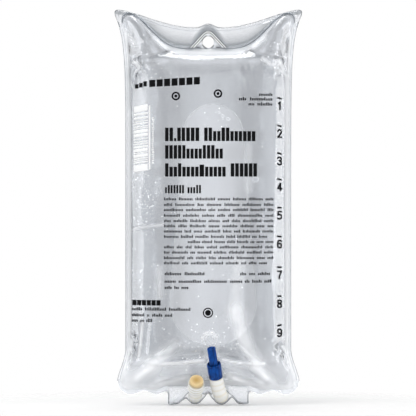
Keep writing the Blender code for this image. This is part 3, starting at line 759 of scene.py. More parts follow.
def below_weld_place(x, z, side):
    """The ruffled weld at the bottom, and the tab that curls forwards with the ports."""
    seal = chamber_bottom(in_chamber_width(x))
    across = front_view_x(x, z)
    below = seal - z
    if abs(x) > TAB_HALF_WIDTH + SEAT_GAP:
        phase = 2.0 * math.pi * (abs(x) - RUFFLE_START) / RUFFLE_PITCH
        wave = RUFFLE_DEPTH * math.sin(phase) * min(1.0, below / BOTTOM_WELD_WIDTH)
        return Vector((across, wave + OUTWARD[side] * FILM_GAP, z))
    curl = below / CURL_RADIUS
    middle = Vector((
        across,
        -CURL_RADIUS * (1.0 - math.cos(curl)),
        seal - CURL_RADIUS * math.sin(curl) + tab_drop(x) * math.sin(min(curl, math.pi / 2.0)),
    ))
    to_back = Vector((0.0, math.cos(curl), -math.sin(curl)))
    sleeve = sleeve_depth(x, below)
    loose = 1.0 - smooth_step(sleeve / 2.0)
    return middle + to_back * (OUTWARD[side] * (sleeve + FILM_GAP) + loose * tab_crumple(x, below))


def add_tab(bm, column_layer, row_layer):
    """Draws the tab down from the bottom edge, between the ruffled welds."""
    rim = []
    for edge in bm.edges:
        low = all(vert[row_layer] == 0.0 for vert in edge.verts)
        in_tab = all(
            abs(column_place(vert[column_layer])) < TAB_HALF_WIDTH + SEAT_GAP for vert in edge.verts
        )
        if low and in_tab:
            rim.append(edge)
    for row in range(1, TAB_ROWS + 1):
        grown = bmesh.ops.extrude_edge_only(bm, edges=rim)["geom"]
        verts = only(bmesh.types.BMVert, grown)
        for vert in verts:
            vert[row_layer] = -row
        rim = edges_between(grown, verts)


def edges_between(geometry, verts):
    ends = set(verts)
    edges = only(bmesh.types.BMEdge, geometry)
    return [edge for edge in edges if all(vert in ends for vert in edge.verts)]


def film_piece(name, node, side, chamber, material):
    """One sheet of film as a closed shell, with its tab and the hanger hole."""
    bm = bmesh.new()
    column_layer, row_layer = grid(bm, FINER)
    add_tab(bm, column_layer, row_layer)
    for vert in bm.verts:
        vert.co = film_place(chamber, vert[column_layer], vert[row_layer], side) * MM
    bmesh.ops.recalc_face_normals(bm, faces=bm.faces)
    bm.faces.ensure_lookup_table()
    sample = max(bm.faces, key=lambda face: OUTWARD[side] * face.calc_center_median().y)
    if sample.normal.y * OUTWARD[side] < 0.0:
        bmesh.ops.reverse_faces(bm, faces=bm.faces)
    piece = new_piece(name, bm, material)
    wall = piece.modifiers.new("thickness", "SOLIDIFY")
    wall.thickness = FILM_THICKNESS * MM
    wall.offset = 1.0
    pierce = piece.modifiers.new("hanger_hole", "BOOLEAN")
    pierce.operation = "DIFFERENCE"
    pierce.solver = "EXACT"
    cutter_bm = bmesh.new()
    bmesh.ops.create_cone(
        cutter_bm,
        cap_ends=True,
        segments=64,
        radius1=HANGER_HOLE_RADIUS * MM,
        radius2=HANGER_HOLE_RADIUS * MM,
        depth=12.0 * MM,
        matrix=Matrix.Rotation(math.pi / 2.0, 4, "X"),
    )
    cutter = new_piece("hanger_hole_cutter", cutter_bm, None)
    pierce.object = cutter
    applied(piece)
    bpy.data.objects.remove(cutter)
    # The film's painted highlight goes into the first attribute and its painted shade into the second.
    milky_with_painted_light = piece.data.attributes.new("milky_with_painted_light", "FLOAT", "POINT")
    painted_shade = piece.data.attributes.new("painted_shade", "FLOAT", "POINT")
    for vert, sheen_share, shade_share in zip(piece.data.vertices, milky_with_painted_light.data, painted_shade.data):
        x, _, z = vert.co / MM
        sheen_share.value, shade_share.value = film_tone(x * FILM_HALF_WIDTH / side_half_width(z), z, side)
    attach(piece, "bag")
    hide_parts(node)
    return piece


def liquid_piece(chamber, material):
    """The liquid, which fills the chamber up to the film."""
    bm, column_layer, row_layer, side_layer = two_layers(FINER)
    inside = set(chamber_faces(bm, column_layer, row_layer))
    outside = [face for face in bm.faces if face not in inside]
    bmesh.ops.delete(bm, geom=outside, context="FACES")
    for vert in bm.verts:
        column = round((vert[column_layer] - SIDE_COLUMNS) * FINER)
        row = round((vert[row_layer] - BOTTOM_ROWS) * FINER)
        vert.co = Vector(chamber[vert[side_layer], column, row]) * MM
    bmesh.ops.recalc_face_normals(bm, faces=bm.faces)
    bm.normal_update()
    shrunk = [vert.co - vert.normal * LIQUID_INSET * MM for vert in bm.verts]
    for vert, place in zip(bm.verts, shrunk):
        vert.co = place
    piece = new_piece("liquid", bm, material)
    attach(piece, "bag")
    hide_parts("fluid")
    return piece


# Weld lines, bubbles and pressed marks, all fine pieces on the film

HEADER_WELD_RISE = 0.6     # above the chamber's top seam, as the next one is
HEADER_EDGE_RISE = 2.3
HEADER_FOLD_DROP = 2.4     # below the top edge
TUCK_X = (10.0, 6.4)       # painted shade where the film is tucked in each foot of the three-cornered weld
TUCK_Z = -4.1
HANGER_FOOT = (12.2, -4.5)  # of the three-cornered weld round the hole
HANGER_APEX = 6.7
# Along the hanger weld the white lines are painted highlights, and the dark lines painted shade standing for
# grooves.
HANGER_LINES = (           # name, how far outside the weld's own line, radius and look
    ("inner_weld", -0.2, 0.34, "white"), ("inner_groove_painted_shade", 0.55, 0.32, "dark"),
    ("outer_weld", 1.3, 0.34, "white"), ("outer_groove_painted_shade", 1.95, 0.24, "dark"),
)
BEAD = {                   # radii of the other lines
    "seam": 0.3, "header": 0.36, "header_edge": 0.25, "tuck_shade": 0.42, "shade": 0.38, "fold": 0.2,
    "ruffle": 0.45, "tab": 0.35, "rest_mark": 0.2, "filling_mark": 0.45,
}
HOLE_SHADES = ((20.0, 70.0), (108.0, 172.0), (202.0, 257.0), (298.0, 330.0))
HOLE_SHADE_RADIUS = 5.1    # of the dark arcs beside the hole, which start and end at these degrees
LIQUID_INSET = 0.3         # the liquid's skin stays this far inside the film
GAS_RADIUS = 0.32
GAS_RADIUS_SPREAD = 0.4
GAS_SWARMS = (             # pixel of the middle, spread across and up in pixels, and count
    (142, 200, 7, 16, 60), (142, 218, 6, 9, 26), (142, 255, 9, 26, 34), (150, 190, 12, 16, 26),
    (216, 118, 9, 5, 10), (158, 76, 14, 8, 16), (262, 60, 16, 12, 14),
    (140, 28, 8, 10, 9), (276, 30, 8, 10, 9), (205, 335, 22, 10, 30),
    (236, 340, 14, 8, 18), (190, 352, 16, 8, 16), (208, 200, 42, 90, 44),
    (208, 378, 50, 6, 20), (150, 300, 20, 26, 20),
)
LARGE_GAS = ((219, 113, 1.1), (222.5, 116.5, 1.4), (228, 119.5, 1.5), (255, 179.5, 2.6))


def bead(name, points, radius, material, closed=False):
    """Fine round line through points in millimetres."""
    curve = bpy.data.curves.new(name, "CURVE")
    curve.dimensions = "3D"
    curve.bevel_depth = radius * MM
    curve.bevel_resolution = 2
    curve.use_fill_caps = True
    spline = curve.splines.new("POLY")
    spline.points.add(len(points) - 1)
    for point, place in zip(spline.points, points):
        point.co = (*(Vector(place) * MM), 1.0)
    spline.use_cyclic_u = closed
    line = bpy.data.objects.new(name, curve)
    bpy.context.scene.collection.objects.link(line)
    depsgraph = bpy.context.evaluated_depsgraph_get()
    bm = bmesh.new()
    bm.from_mesh(bpy.data.meshes.new_from_object(line.evaluated_get(depsgraph)))
    bmesh.ops.remove_doubles(bm, verts=bm.verts, dist=0.001 * MM)
    bmesh.ops.recalc_face_normals(bm, faces=bm.faces)
    bpy.data.objects.remove(line)
    piece = new_piece(name, bm, material)
    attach(piece, "bag")
    return piece


def on_film(places, surface, side, sunk=0.0):
    """Moves points at x and z, in millimetres, onto the outside of a film, or sinks them in it."""
    laid = []
    for x, z in places:
        start = Vector((x, OUTWARD[side] * 200.0, z)) * MM
        hit = surface.ray_cast(start, Vector((0.0, -OUTWARD[side], 0.0)))[0]
        if hit is not None:
            laid.append(hit / MM - Vector((0.0, OUTWARD[side] * sunk, 0.0)))
    return laid


def between_films(chamber, column, row):
    front = film_place(chamber, column, row, FRONT)
    return (front + film_place(chamber, column, row, BACK)) / 2.0


def straight(start, end, count):
    """Points along a straight line, in millimetres."""
    points = []
    for k in range(count + 1):
        part = k / count
        points.append((start[0] + (end[0] - start[0]) * part, start[1] + (end[1] - start[1]) * part))
    return points


def arc(centre, radius, first, last, count):
    """Points along an arc between two angles in degrees."""
    points = []
    for k in range(count + 1):
        turn = math.radians(first + (last - first) * k / count)
        points.append((centre[0] + radius * math.cos(turn), centre[1] + radius * math.sin(turn)))
    return points


def hanger_arch(outwards):
    """Round-topped arch over the hanger hole, this far outside the weld's own line."""
    foot, base = HANGER_FOOT
    corners = [
        (foot + 1.37 * outwards, base),
        (2.8 + 0.73 * outwards, 5.6 + 0.68 * outwards),
        (1.2 + 0.3 * outwards, HANGER_APEX + outwards),
    ]
    path = [(-x, z) for x, z in corners] + corners[::-1]
    points = []
    for start, end in zip(path, path[1:]):
        points += straight(start, end, 8)[:-1]
    return points + [path[-1]]


def weld_lines(chamber, films, looks):
    """Raised lines that the weld tool leaves round the chamber and round the hanger hole."""
    # The white lines are painted highlights, the dark ones painted shade, and the grey ones real weld lines
    # greyed partly with painted shade.
    clear, grey, dark, white = (looks[name] for name in ("clear", "grey", "dark", "white"))
    last_column = chamber.shape[1] - 1
    last_row = chamber.shape[2] - 1
    for side, word in ((FRONT, "front"), (BACK, "back")):
        rise = Vector((0.0, OUTWARD[side] * (FILM_GAP + FILM_THICKNESS), 0.0))
        left = [Vector(chamber[FRONT, 0, row]) + rise for row in range(last_row + 1)]
        right = [Vector(chamber[FRONT, last_column, row]) + rise for row in range(last_row + 1)]
        bead(f"{word}_left_weld", left, BEAD["seam"], clear)
        bead(f"{word}_right_weld", right, BEAD["seam"], clear)
        seam = [chamber[FRONT, column, last_row] for column in range(last_column + 1)]
        lower = on_film([(x, z + HEADER_WELD_RISE) for x, _, z in seam[1:-1]], films[side], side)
        bead(f"{word}_header_weld", lower, BEAD["header"], grey)
        for name, turn in (("left", -1.0), ("right", 1.0)):
            upper = [(x, z + HEADER_EDGE_RISE) for x, _, z in seam[8:-8] if x * turn > HANGER_FOOT[0]]
            bead(f"{word}_{name}_header_edge", on_film(upper, films[side], side), BEAD["header_edge"], clear)
            tuck_shade = straight((turn * TUCK_X[0], TUCK_Z), (turn * TUCK_X[1], TUCK_Z), 6)
            bead(f"{word}_{name}_tuck", on_film(tuck_shade, films[side], side), BEAD["tuck_shade"], dark)
        for name, outwards, radius, look in HANGER_LINES:
            arch = on_film(hanger_arch(outwards), films[side], side)
            bead(f"{word}_hanger_{name}", arch, radius, looks[look])
        for k, (first, last) in enumerate(HOLE_SHADES):
            shade = arc((0.0, 0.0), HOLE_SHADE_RADIUS, first, last, 12)
            bead(f"{word}_hole_shade_{k}", on_film(shade, films[side], side), BEAD["shade"], dark)
        fold = [(x, top_edge(x) - HEADER_FOLD_DROP) for x in range(-58, 59, 2)]
        fold = [(front_view_x(x, z), z) for x, z in fold]
        bead(f"{word}_header_fold", on_film(fold, films[side], side), BEAD["fold"], clear)

    rows = [row / FINER for row in range(ROWS * FINER + 1)]
    columns = [column / FINER for column in range(COLUMNS * FINER + 1)]
    outline = [between_films(chamber, 0.0, row) for row in rows]
    outline += [between_films(chamber, column, ROWS) for column in columns[1:]]
    outline += [between_films(chamber, COLUMNS, row) for row in reversed(rows[:-1])]
    bead("trimmed_edge", outline, BEAD["seam"], grey)
    beside = [c for c in columns if abs(column_place(c)) > TAB_HALF_WIDTH + 1.0]
    for name, turn in (("left", -1.0), ("right", 1.0)):
        edge = [
            between_films(chamber, column, 0.0) for column in beside if column_place(column) * turn > 0.0
        ]
        bead(f"{name}_ruffled_edge", edge, BEAD["ruffle"], white)
    in_tab = [c for c in columns if abs(column_place(c)) < TAB_HALF_WIDTH + SEAT_GAP]
    for side, word in ((FRONT, "front"), (BACK, "back")):
        rim = [film_place(chamber, in_tab[0], row, side) for row in range(1, -TAB_ROWS, -1)]
        rim += [film_place(chamber, column, -TAB_ROWS, side) for column in in_tab]
        rim += [film_place(chamber, in_tab[-1], row, side) for row in range(1 - TAB_ROWS, 2)]
        bead(f"{word}_tab_edge", rim, BEAD["tab"], clear)


def bubbles(liquid):
    """Small gas bubbles that cling under the front film, seeded."""
    draw = random.Random(21)
    surface = BVHTree.FromObject(liquid, bpy.context.evaluated_depsgraph_get())
    spots = []
    for px, py, spread_x, spread_y, count in GAS_SWARMS:
        for _ in range(count):
            place = draw.gauss(px, spread_x), draw.gauss(py, spread_y)
            spots.append((*place, GAS_RADIUS + GAS_RADIUS_SPREAD * draw.random() ** 3))
    scattered_gas(surface, "bubbles", spots, gas_bubble("small_gas_bubble", 0.7))
    scattered_gas(surface, "large_bubbles", LARGE_GAS, gas_bubble("large_gas_bubble", 0.04))


def scattered_gas(surface, name, spots, material):
    """Flattened bubbles just under the front of the liquid, from pixels and radii."""
    bm = bmesh.new()
    for px, py, radius in spots:
        x, z = from_pixel(px, py)
        start = Vector((x * MM, -0.1, z * MM))
        hit = surface.ray_cast(start, Vector((0.0, 1.0, 0.0)))[0]
        if hit is None:
            continue
        centre = hit + Vector((0.0, (radius + 0.25) * MM, 0.0))
        place = Matrix.Translation(centre) @ Matrix.Diagonal((1.0, 0.6, 1.0, 1.0))
        bmesh.ops.create_icosphere(
            bm, subdivisions=3 if radius > 1.0 else 1, radius=radius * MM, matrix=place
        )
    piece = new_piece(name, bm, material)
    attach(piece, "bag")


def rest_mark(films, material):
    """Long oval line pressed into the film where the bag lay flat, and the round filling mark."""
    outline = arc((REST_X, REST_TOP[0]), REST_TOP[1], 180.0, 360.0, 24)
    outline += arc((REST_X, REST_BOTTOM[0]), REST_BOTTOM[1], 0.0, 180.0, 24)
    places = []
    for start, end in zip(outline, outline[1:] + outline[:1]):
        steps = max(1, round(math.dist(start, end) / 4.0))
        places += [from_pixel(px, py) for px, py in straight(start, end, steps)[:-1]]
    laid = on_film(places, films[FRONT], FRONT, sunk=BEAD["rest_mark"])
    bead("rest_mark", laid, BEAD["rest_mark"], material, closed=True)
    for name, radius in (("outer", 7.0), ("inner", 4.4)):
        places = [from_pixel(px, py) for px, py in arc(FILLING_MARK, radius, 0.0, 360.0, 36)[:-1]]
        laid = on_film(places, films[FRONT], FRONT)
        bead(f"{name}_filling_mark", laid, BEAD["filling_mark"], material, closed=True)


# Ports: each piece is turned about its port's centre line, which curls with the tab

def port(x, tube_radius, curl, curl_lean, end_lean, straight_length):
    """Sizes of one port and its centre line, as points and directions every PATH_STEP."""
    curl_length = CURL_RADIUS * math.radians(curl)
    point = Vector((front_view_x(x, CHAMBER_BOTTOM_Z), 0.0, chamber_bottom(x)))
    line = []
    for k in range(math.ceil((curl_length + straight_length + PATH_BEYOND) / PATH_STEP)):
        turned_by = min(k * PATH_STEP / CURL_RADIUS, math.radians(curl))
        lean_in = smooth_step((math.degrees(turned_by) - LEAN_START) / (curl - LEAN_START))
        straighten = max(0.0, min(1.0, (k * PATH_STEP - curl_length) / straight_length))
        tilt = math.radians(curl_lean * lean_in + (end_lean - curl_lean) * straighten)
        direction = Vector((
            math.sin(tilt),
            -math.sin(turned_by) * math.cos(tilt),
            -math.cos(turned_by) * math.cos(tilt),
        ))
        line.append((point.copy(), direction))
        point += direction * PATH_STEP
    return {"tube_radius": tube_radius, "line": line, "tube_end": curl_length + straight_length}


INJECTION = port(-PORT_X, 5.3, 129.0, 3.0, 3.0, 15.9)
OUTLET = port(PORT_X, 5.6, 154.1, -16.0, -8.0, 13.0)


def station(sizes, distance):
    """Frame on a port's centre line, a distance from its root, with Z along the line."""
    line = sizes["line"]
    k = min(int(distance / PATH_STEP), len(line) - 1)
    point, direction = line[k]
    origin = point + direction * (distance - k * PATH_STEP)
    sideways = (Vector((1.0, 0.0, 0.0)) - direction * direction.x).normalized()
    turn = Matrix((sideways, direction.cross(sideways), direction)).transposed().to_4x4()
    return Matrix.Translation(origin * MM) @ turn


def along(start, end, radius):
    count = max(1, round(abs(end - start)))
    return [(start + (end - start) * k / count, radius) for k in range(count + 1)]


def rounded(distance, radius, size, steps=5):
    """Quarter-round outer edge that ends on a face."""
    points = []
    for k in range(steps + 1):
        turn = math.pi / 2.0 * k / steps
        points.append((
            distance - size * (1.0 - math.sin(turn)), radius - size * (1.0 - math.cos(turn)),
        ))
    return points


def turned(name, sizes, section, material, body, nodes, bored=False):
    """Piece turned along a port's centre line from the (distance, radius) points of its section."""
    bm = bmesh.new()
    along_layer = bm.verts.layers.float.new("along")
    out_layer = bm.verts.layers.float.new("out")
    distance, radius = section[0]
    place = station(sizes, distance)
    bmesh.ops.create_circle(
        bm, cap_ends=not bored, segments=PORT_SIDES, radius=radius * MM, matrix=place
    )
    for vert in bm.verts:
        vert[along_layer] = distance - sizes["tube_end"]
        vert[out_layer] = radius
    first_ring = list(bm.edges)
    ring = first_ring
    for next_distance, next_radius in section[1:]:
        next_place = station(sizes, next_distance)
        grown = bmesh.ops.extrude_edge_only(bm, edges=ring)["geom"]
        verts = only(bmesh.types.BMVert, grown)
        ring = edges_between(grown, verts)
        widen = Matrix.Diagonal((next_radius / radius, next_radius / radius, 1.0, 1.0))
        bmesh.ops.transform(bm, verts=verts, matrix=next_place @ widen @ place.inverted())
        for vert in verts:
            vert[along_layer] = next_distance - sizes["tube_end"]
            vert[out_layer] = next_radius
        place = next_place
        radius = next_radius
    if bored:
        bmesh.ops.bridge_loops(bm, edges=first_ring + ring)
    else:
        bmesh.ops.edgeloop_fill(bm, edges=ring)
    bmesh.ops.recalc_face_normals(bm, faces=bm.faces)
    piece = new_piece(name, bm, material)
    piece.data.set_sharp_from_angle(angle=math.radians(50.0))
    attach(piece, body)
    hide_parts(*nodes)
    return piece


# Materials

LIQUID_GREY = (0.5, 0.5, 0.5, 1.0)
LIQUID_DENSITY = 5.0       # per metre, of the liquid's grey
GAS_PAINTED_GLOW = 0.8             # painted glow, standing in for the light that a bubble's skin mirrors from all round


def linear(hex_code):
    channels = [int(hex_code[k:k + 2], 16) / 255.0 for k in (1, 3, 5)]
    return [c / 12.92 if c <= 0.04045 else ((c + 0.055) / 1.055) ** 2.4 for c in channels] + [1.0]


def add_node(tree, kind, settings=None, inputs=None):
    """Add a node. An input, by name or number, is given a plain value or an output to link."""
    made = tree.nodes.new(kind)
    for name, value in (settings or {}).items():
        setattr(made, name, value)
    for name, value in (inputs or {}).items():
        if isinstance(value, bpy.types.NodeSocket):
            tree.links.new(value, made.inputs[name])
        else:
            made.inputs[name].default_value = value
    return made


def new_material(name):
    """Empty material, its tree and the place on the object that its patterns follow."""
    material = bpy.data.materials.new(name)
    material.use_nodes = True
    tree = material.node_tree
    tree.nodes.clear()
    return material, tree, add_node(tree, "ShaderNodeTexCoord").outputs["Object"]


def between_shaders(tree, share, first, second):
    """Ends a material as a mix: the first shader where the share is 0, the second where it is 1."""
    mixed = add_node(tree, "ShaderNodeMixShader", inputs={
        0: share, 1: first.outputs[0], 2: second.outputs[0],
    })
    return add_node(tree, "ShaderNodeOutputMaterial", inputs={"Surface": mixed.outputs[0]})


def clear_pvc_film():
    """Plasticised PVC film, calendered: glossy, a little hazy, with a faint pebbled grain; painted highlight
    and painted shade come from its points.
    """
    material, tree, place = new_material("calendered_pvc_film")
    haze = add_node(tree, "ShaderNodeTexNoise", inputs={
        "Vector": place, "Scale": 1.0 / (14.0 * MM), "Detail": 3.0,
    })
    roughness = add_node(tree, "ShaderNodeMapRange", inputs={
        "Value": haze.outputs["Fac"], "From Min": 0.35, "From Max": 0.7,
        "To Min": 0.03, "To Max": 0.09,
    })
    grain = add_node(tree, "ShaderNodeTexNoise", inputs={
        "Vector": place, "Scale": 1.0 / (2.5 * MM), "Detail": 2.0,
    })
    bump = add_node(tree, "ShaderNodeBump", inputs={
        "Strength": 0.10, "Distance": 0.2 * MM, "Height": grain.outputs["Fac"],
    })
    # Painted shade greys the film's colour, and painted highlight turns the film from clear to a white that
    # the lamps light.
    painted_shade = add_node(tree, "ShaderNodeAttribute", {"attribute_name": "painted_shade"})
    milky_with_painted_light = add_node(tree, "ShaderNodeAttribute", {"attribute_name": "milky_with_painted_light"})
    clarity = add_node(tree, "ShaderNodeMapRange", inputs={
        "Value": milky_with_painted_light.outputs["Fac"], "To Min": 1.0, "To Max": 0.0,
    })
    film = add_node(tree, "ShaderNodeBsdfPrincipled", inputs={
        "Base Color": blended(tree, painted_shade.outputs["Fac"], "#FBFCFE", "#C8CBCE"),
        "Roughness": roughness.outputs["Result"],
        "IOR": 1.45,
        "Transmission Weight": clarity.outputs["Result"],
        "Normal": bump.outputs["Normal"],
    })
    clear_to_shadow(tree, film, "#DDE1E5")
    return material


def weld_plastic(name, colour, least, most, painted_glow=0.0):
    """Film that the weld tool has clouded: a soft line that lets some light past, in patches.

    Its emission strength is painted light, which makes a white line shine though it is no lamp.
    """
    material, tree, place = new_material(name)
    patches = add_node(tree, "ShaderNodeTexNoise", inputs={
        "Vector": place, "Scale": 1.0 / (4.0 * MM), "Detail": 2.0,
    })
    share = add_node(tree, "ShaderNodeMapRange", inputs={
        "Value": patches.outputs["Fac"], "From Min": 0.35, "From Max": 0.65,
        "To Min": least, "To Max": most,
    })
    plastic = add_node(tree, "ShaderNodeBsdfPrincipled", inputs={
        "Base Color": linear(colour),
        "Roughness": 0.2,
        "Emission Color": linear("#FFFFFF"),
        "Emission Strength": painted_glow,
    })
    through = add_node(tree, "ShaderNodeBsdfTransparent")
    between_shaders(tree, share.outputs["Result"], through, plastic)
    return material


def gas_bubble(name, middle):
    """Gas in the liquid, lit with painted light: a painted highlight on the rim, and a middle that is as
    bright as this share.
    """
    material, tree, place = new_material(name)
    variation = add_node(tree, "ShaderNodeTexNoise", inputs={
        "Vector": place, "Scale": 1.0 / (5.0 * MM),
    })
    # Painted highlight on the rim, where the skin turns edge-on to the view, and painted emission all over.
    rim = add_node(tree, "ShaderNodeLayerWeight", inputs={"Blend": 0.35})
    share = add_node(tree, "ShaderNodeMapRange", inputs={
        "Value": rim.outputs["Facing"], "To Min": middle, "To Max": 1.0,
    })
    shell = add_node(tree, "ShaderNodeBsdfPrincipled", inputs={
        "Base Color": linear("#FFFFFF"),
        "Roughness": 0.15,
        "Emission Color": linear("#FFFFFF"),
        "Emission Strength": GAS_PAINTED_GLOW,
        "Coat Weight": variation.outputs["Fac"],
    })
    through = add_node(tree, "ShaderNodeBsdfTransparent")
    between_shaders(tree, share.outputs["Result"], through, shell)
    return material


def clear_to_shadow(tree, shader, tint):
    """Lets lamp light through a clear material, as the real one does."""
    path = add_node(tree, "ShaderNodeLightPath")
    through = add_node(tree, "ShaderNodeBsdfTransparent", inputs={"Color": linear(tint)})
    return between_shaders(tree, path.outputs["Is Shadow Ray"], shader, through)


def saline():
    """Clear salt solution: it bends the light of the room, and greys it where the bag is thick."""
    material, tree, place = new_material("clear_salt_solution")
    swirl = add_node(tree, "ShaderNodeTexNoise", inputs={
        "Vector": place, "Scale": 1.0 / (60.0 * MM), "Detail": 2.0,
    })
    liquid = add_node(tree, "ShaderNodeBsdfPrincipled", inputs={
        "Base Color": blended(tree, swirl.outputs["Fac"], "#DDE0E4", "#F0F1F3"),
        "Roughness": 0.0,
        "IOR": 1.33,
        "Transmission Weight": 1.0,
    })
    output = clear_to_shadow(tree, liquid, "#B4BABF")
    absorbing = add_node(tree, "ShaderNodeVolumeAbsorption", inputs={
        "Color": LIQUID_GREY, "Density": LIQUID_DENSITY,
    })
    tree.links.new(absorbing.outputs[0], output.inputs["Volume"])
    return material


def printing_ink(name, colours):
    """Screen-printed ink: dense and matt, with a little unevenness from the mesh."""
    material, tree, place = new_material(name)
    mesh_marks = add_node(tree, "ShaderNodeTexNoise", inputs={
        "Vector": place, "Scale": 1.0 / (0.6 * MM), "Detail": 2.0,
    })
    ink = add_node(tree, "ShaderNodeBsdfPrincipled", inputs={
        "Base Color": blended(tree, mesh_marks.outputs["Fac"], *colours),
        "Roughness": 0.6,
        "Specular IOR Level": 0.1,
    })
    add_node(tree, "ShaderNodeOutputMaterial", inputs={"Surface": ink.outputs[0]})
    return material


def moulded(tree, place, grain_size, grain_height, roughness, others):
    """Ends the material of a moulded part, with a fine skin in its roughness and its bump."""
    grain = add_node(tree, "ShaderNodeTexNoise", inputs={
        "Vector": place, "Scale": 1.0 / (grain_size * MM), "Detail": 4.0,
    })
    sheen = add_node(tree, "ShaderNodeMapRange", inputs={
        "Value": grain.outputs["Fac"], "To Min": roughness - 0.08, "To Max": roughness + 0.08,
    })
    bump = add_node(tree, "ShaderNodeBump", inputs={
        "Strength": 0.4, "Distance": grain_height * MM, "Height": grain.outputs["Fac"],
    })
    body = add_node(tree, "ShaderNodeBsdfPrincipled", inputs={
        "Roughness": sheen.outputs["Result"], "Normal": bump.outputs["Normal"], **others,
    })
    add_node(tree, "ShaderNodeOutputMaterial", inputs={"Surface": body.outputs[0]})


def blended(tree, factor, low, high):
    """Colour between two hex colours."""
    tone = add_node(tree, "ShaderNodeMix", {"data_type": "RGBA"}, {
        "Factor": factor, "A": linear(low), "B": linear(high),
    })
    return tone.outputs["Result"]


def milky_plastic(name, light, cream, pitch):
    """Soft translucent plastic: cloudy white, glossy, and creamier in rings along it."""
    material, tree, place = new_material(name)
    distance = add_node(tree, "ShaderNodeAttribute", {"attribute_name": "along"})
    turns = add_node(tree, "ShaderNodeMath", {"operation": "MULTIPLY"}, {
        0: distance.outputs["Fac"], 1: 2.0 * math.pi / pitch,
    })
    rings = add_node(tree, "ShaderNodeMath", {"operation": "COSINE"}, {0: turns.outputs[0]})
    share = add_node(tree, "ShaderNodeMapRange", {"interpolation_type": "SMOOTHSTEP"}, {
        "Value": rings.outputs[0], "From Min": 0.1, "From Max": 1.0, "To Min": 0.15, "To Max": 1.0,
    })
    moulded(tree, place, 1.4, 0.05, 0.24, {
        "Base Color": blended(tree, share.outputs["Result"], light, cream),
        "Subsurface Weight": 0.7,
        "Subsurface Radius": (3.0, 2.7, 2.1),
        "Subsurface Scale": MM,
    })
    return material


def tan_rubber():
    """Moulded natural rubber: satin, deeper tan towards the middle of the target face."""
    material, tree, place = new_material("tan_rubber")
    distance = add_node(tree, "ShaderNodeAttribute", {"attribute_name": "out"})
    share = add_node(tree, "ShaderNodeMapRange", inputs={
        "Value": distance.outputs["Fac"], "From Min": 0.4, "From Max": 5.2,
    })
    moulded(tree, place, 0.8, 0.05, 0.38, {
        "Base Color": blended(tree, share.outputs["Result"], "#B9954F", "#DEC594"),
        "Subsurface Weight": 0.15,
        "Subsurface Radius": (1.6, 1.2, 0.6),
        "Subsurface Scale": MM,
    })
    return material


def blue_polyethylene():
    """Injection-moulded polyethylene: deep blue, waxy, with faint flow lines down it, whose lighter streaks
    are partly painted highlights.
    """
    material, tree, place = new_material("blue_polyethylene")
    stretched = add_node(tree, "ShaderNodeMapping", inputs={
        "Vector": place, "Scale": (1.0, 0.2, 0.2),
    })
    flow = add_node(tree, "ShaderNodeTexNoise", inputs={
        "Vector": stretched.outputs["Vector"], "Scale": 1.0 / (0.9 * MM), "Detail": 3.0,
    })
    # The lighter streaks stand in partly for highlights: painted highlight.
    lines = add_node(tree, "ShaderNodeMapRange", inputs={
        "Value": flow.outputs["Fac"], "From Min": 0.35, "From Max": 0.65,
    })
    moulded(tree, place, 0.9, 0.04, 0.3, {
        "Base Color": blended(tree, lines.outputs["Result"], "#022050", "#0D4C9E"),
        "Specular IOR Level": 0.12,
    })
    return material


# Studio

FLOOR_Z = -290.2
FLOOR_GLOW = 0.13          # makes up for the light that the table loses at its far side
FLOOR_FADE = (0.3, 0.38)   # metres from the bag's foot, where the table gives way to the backdrop
PANELS_ROUND = 18.0        # soft grey gaps between the room's white panels, round the bag
BANDS_UP = 20.0
PANEL_GREY = 0.74
BAND_GREY = 0.8
ROOM_LIGHT = 0.42
BAG_MIDDLE_Z = -130.0
LAMPS = (                  # name, place and size in millimetres, watts, and whether it is mirrored
    ("key", (-700.0, -950.0, 350.0), (900.0, 1000.0), 5.2, False),
    ("fill", (600.0, -1000.0, -160.0), (800.0, 500.0), 4.2, False),
    ("top", (-40.0, 20.0, 640.0), (600.0, 280.0), 3.3, True),
    ("right_strip", (1150.0, -380.0, -100.0), (400.0, 900.0), 4.0, True),
    ("left_strip", (-1150.0, -430.0, -100.0), (400.0, 900.0), 3.0, True),
)
LENS = 300.0
SENSOR = 36.0


def camera():
    field = FRAME_PIXELS * PIXEL
    x, z = from_pixel(FRAME_PIXELS / 2.0, FRAME_PIXELS / 2.0)
    data = bpy.data.cameras.new("camera")
    data.lens = LENS
    data.sensor_width = SENSOR
    data.clip_end = 50.0
    item = bpy.data.objects.new("camera", data)
    item.location = Vector((x, -field * LENS / SENSOR, z)) * MM
    item.rotation_euler = (math.pi / 2.0, 0.0, 0.0)
    bpy.context.scene.collection.objects.link(item)
    bpy.context.scene.camera = item


def lamp(name, place, size, power, mirrored):
    """Area lamp that faces the middle of the bag; only a mirrored one shows in film and liquid."""
    data = bpy.data.lights.new(name, "AREA")
    data.shape = "RECTANGLE"
    data.size = size[0] * MM
    data.size_y = size[1] * MM
    data.energy = power
    item = bpy.data.objects.new(name, data)
    item.location = Vector(place) * MM
    aim = Vector((0.0, 0.0, BAG_MIDDLE_Z)) * MM - item.location
    item.rotation_mode = "QUATERNION"
    item.rotation_quaternion = aim.to_track_quat("-Z", "Y")
    item.visible_camera = False
    item.visible_glossy = mirrored
    item.visible_transmission = mirrored
    bpy.context.scene.collection.objects.link(item)


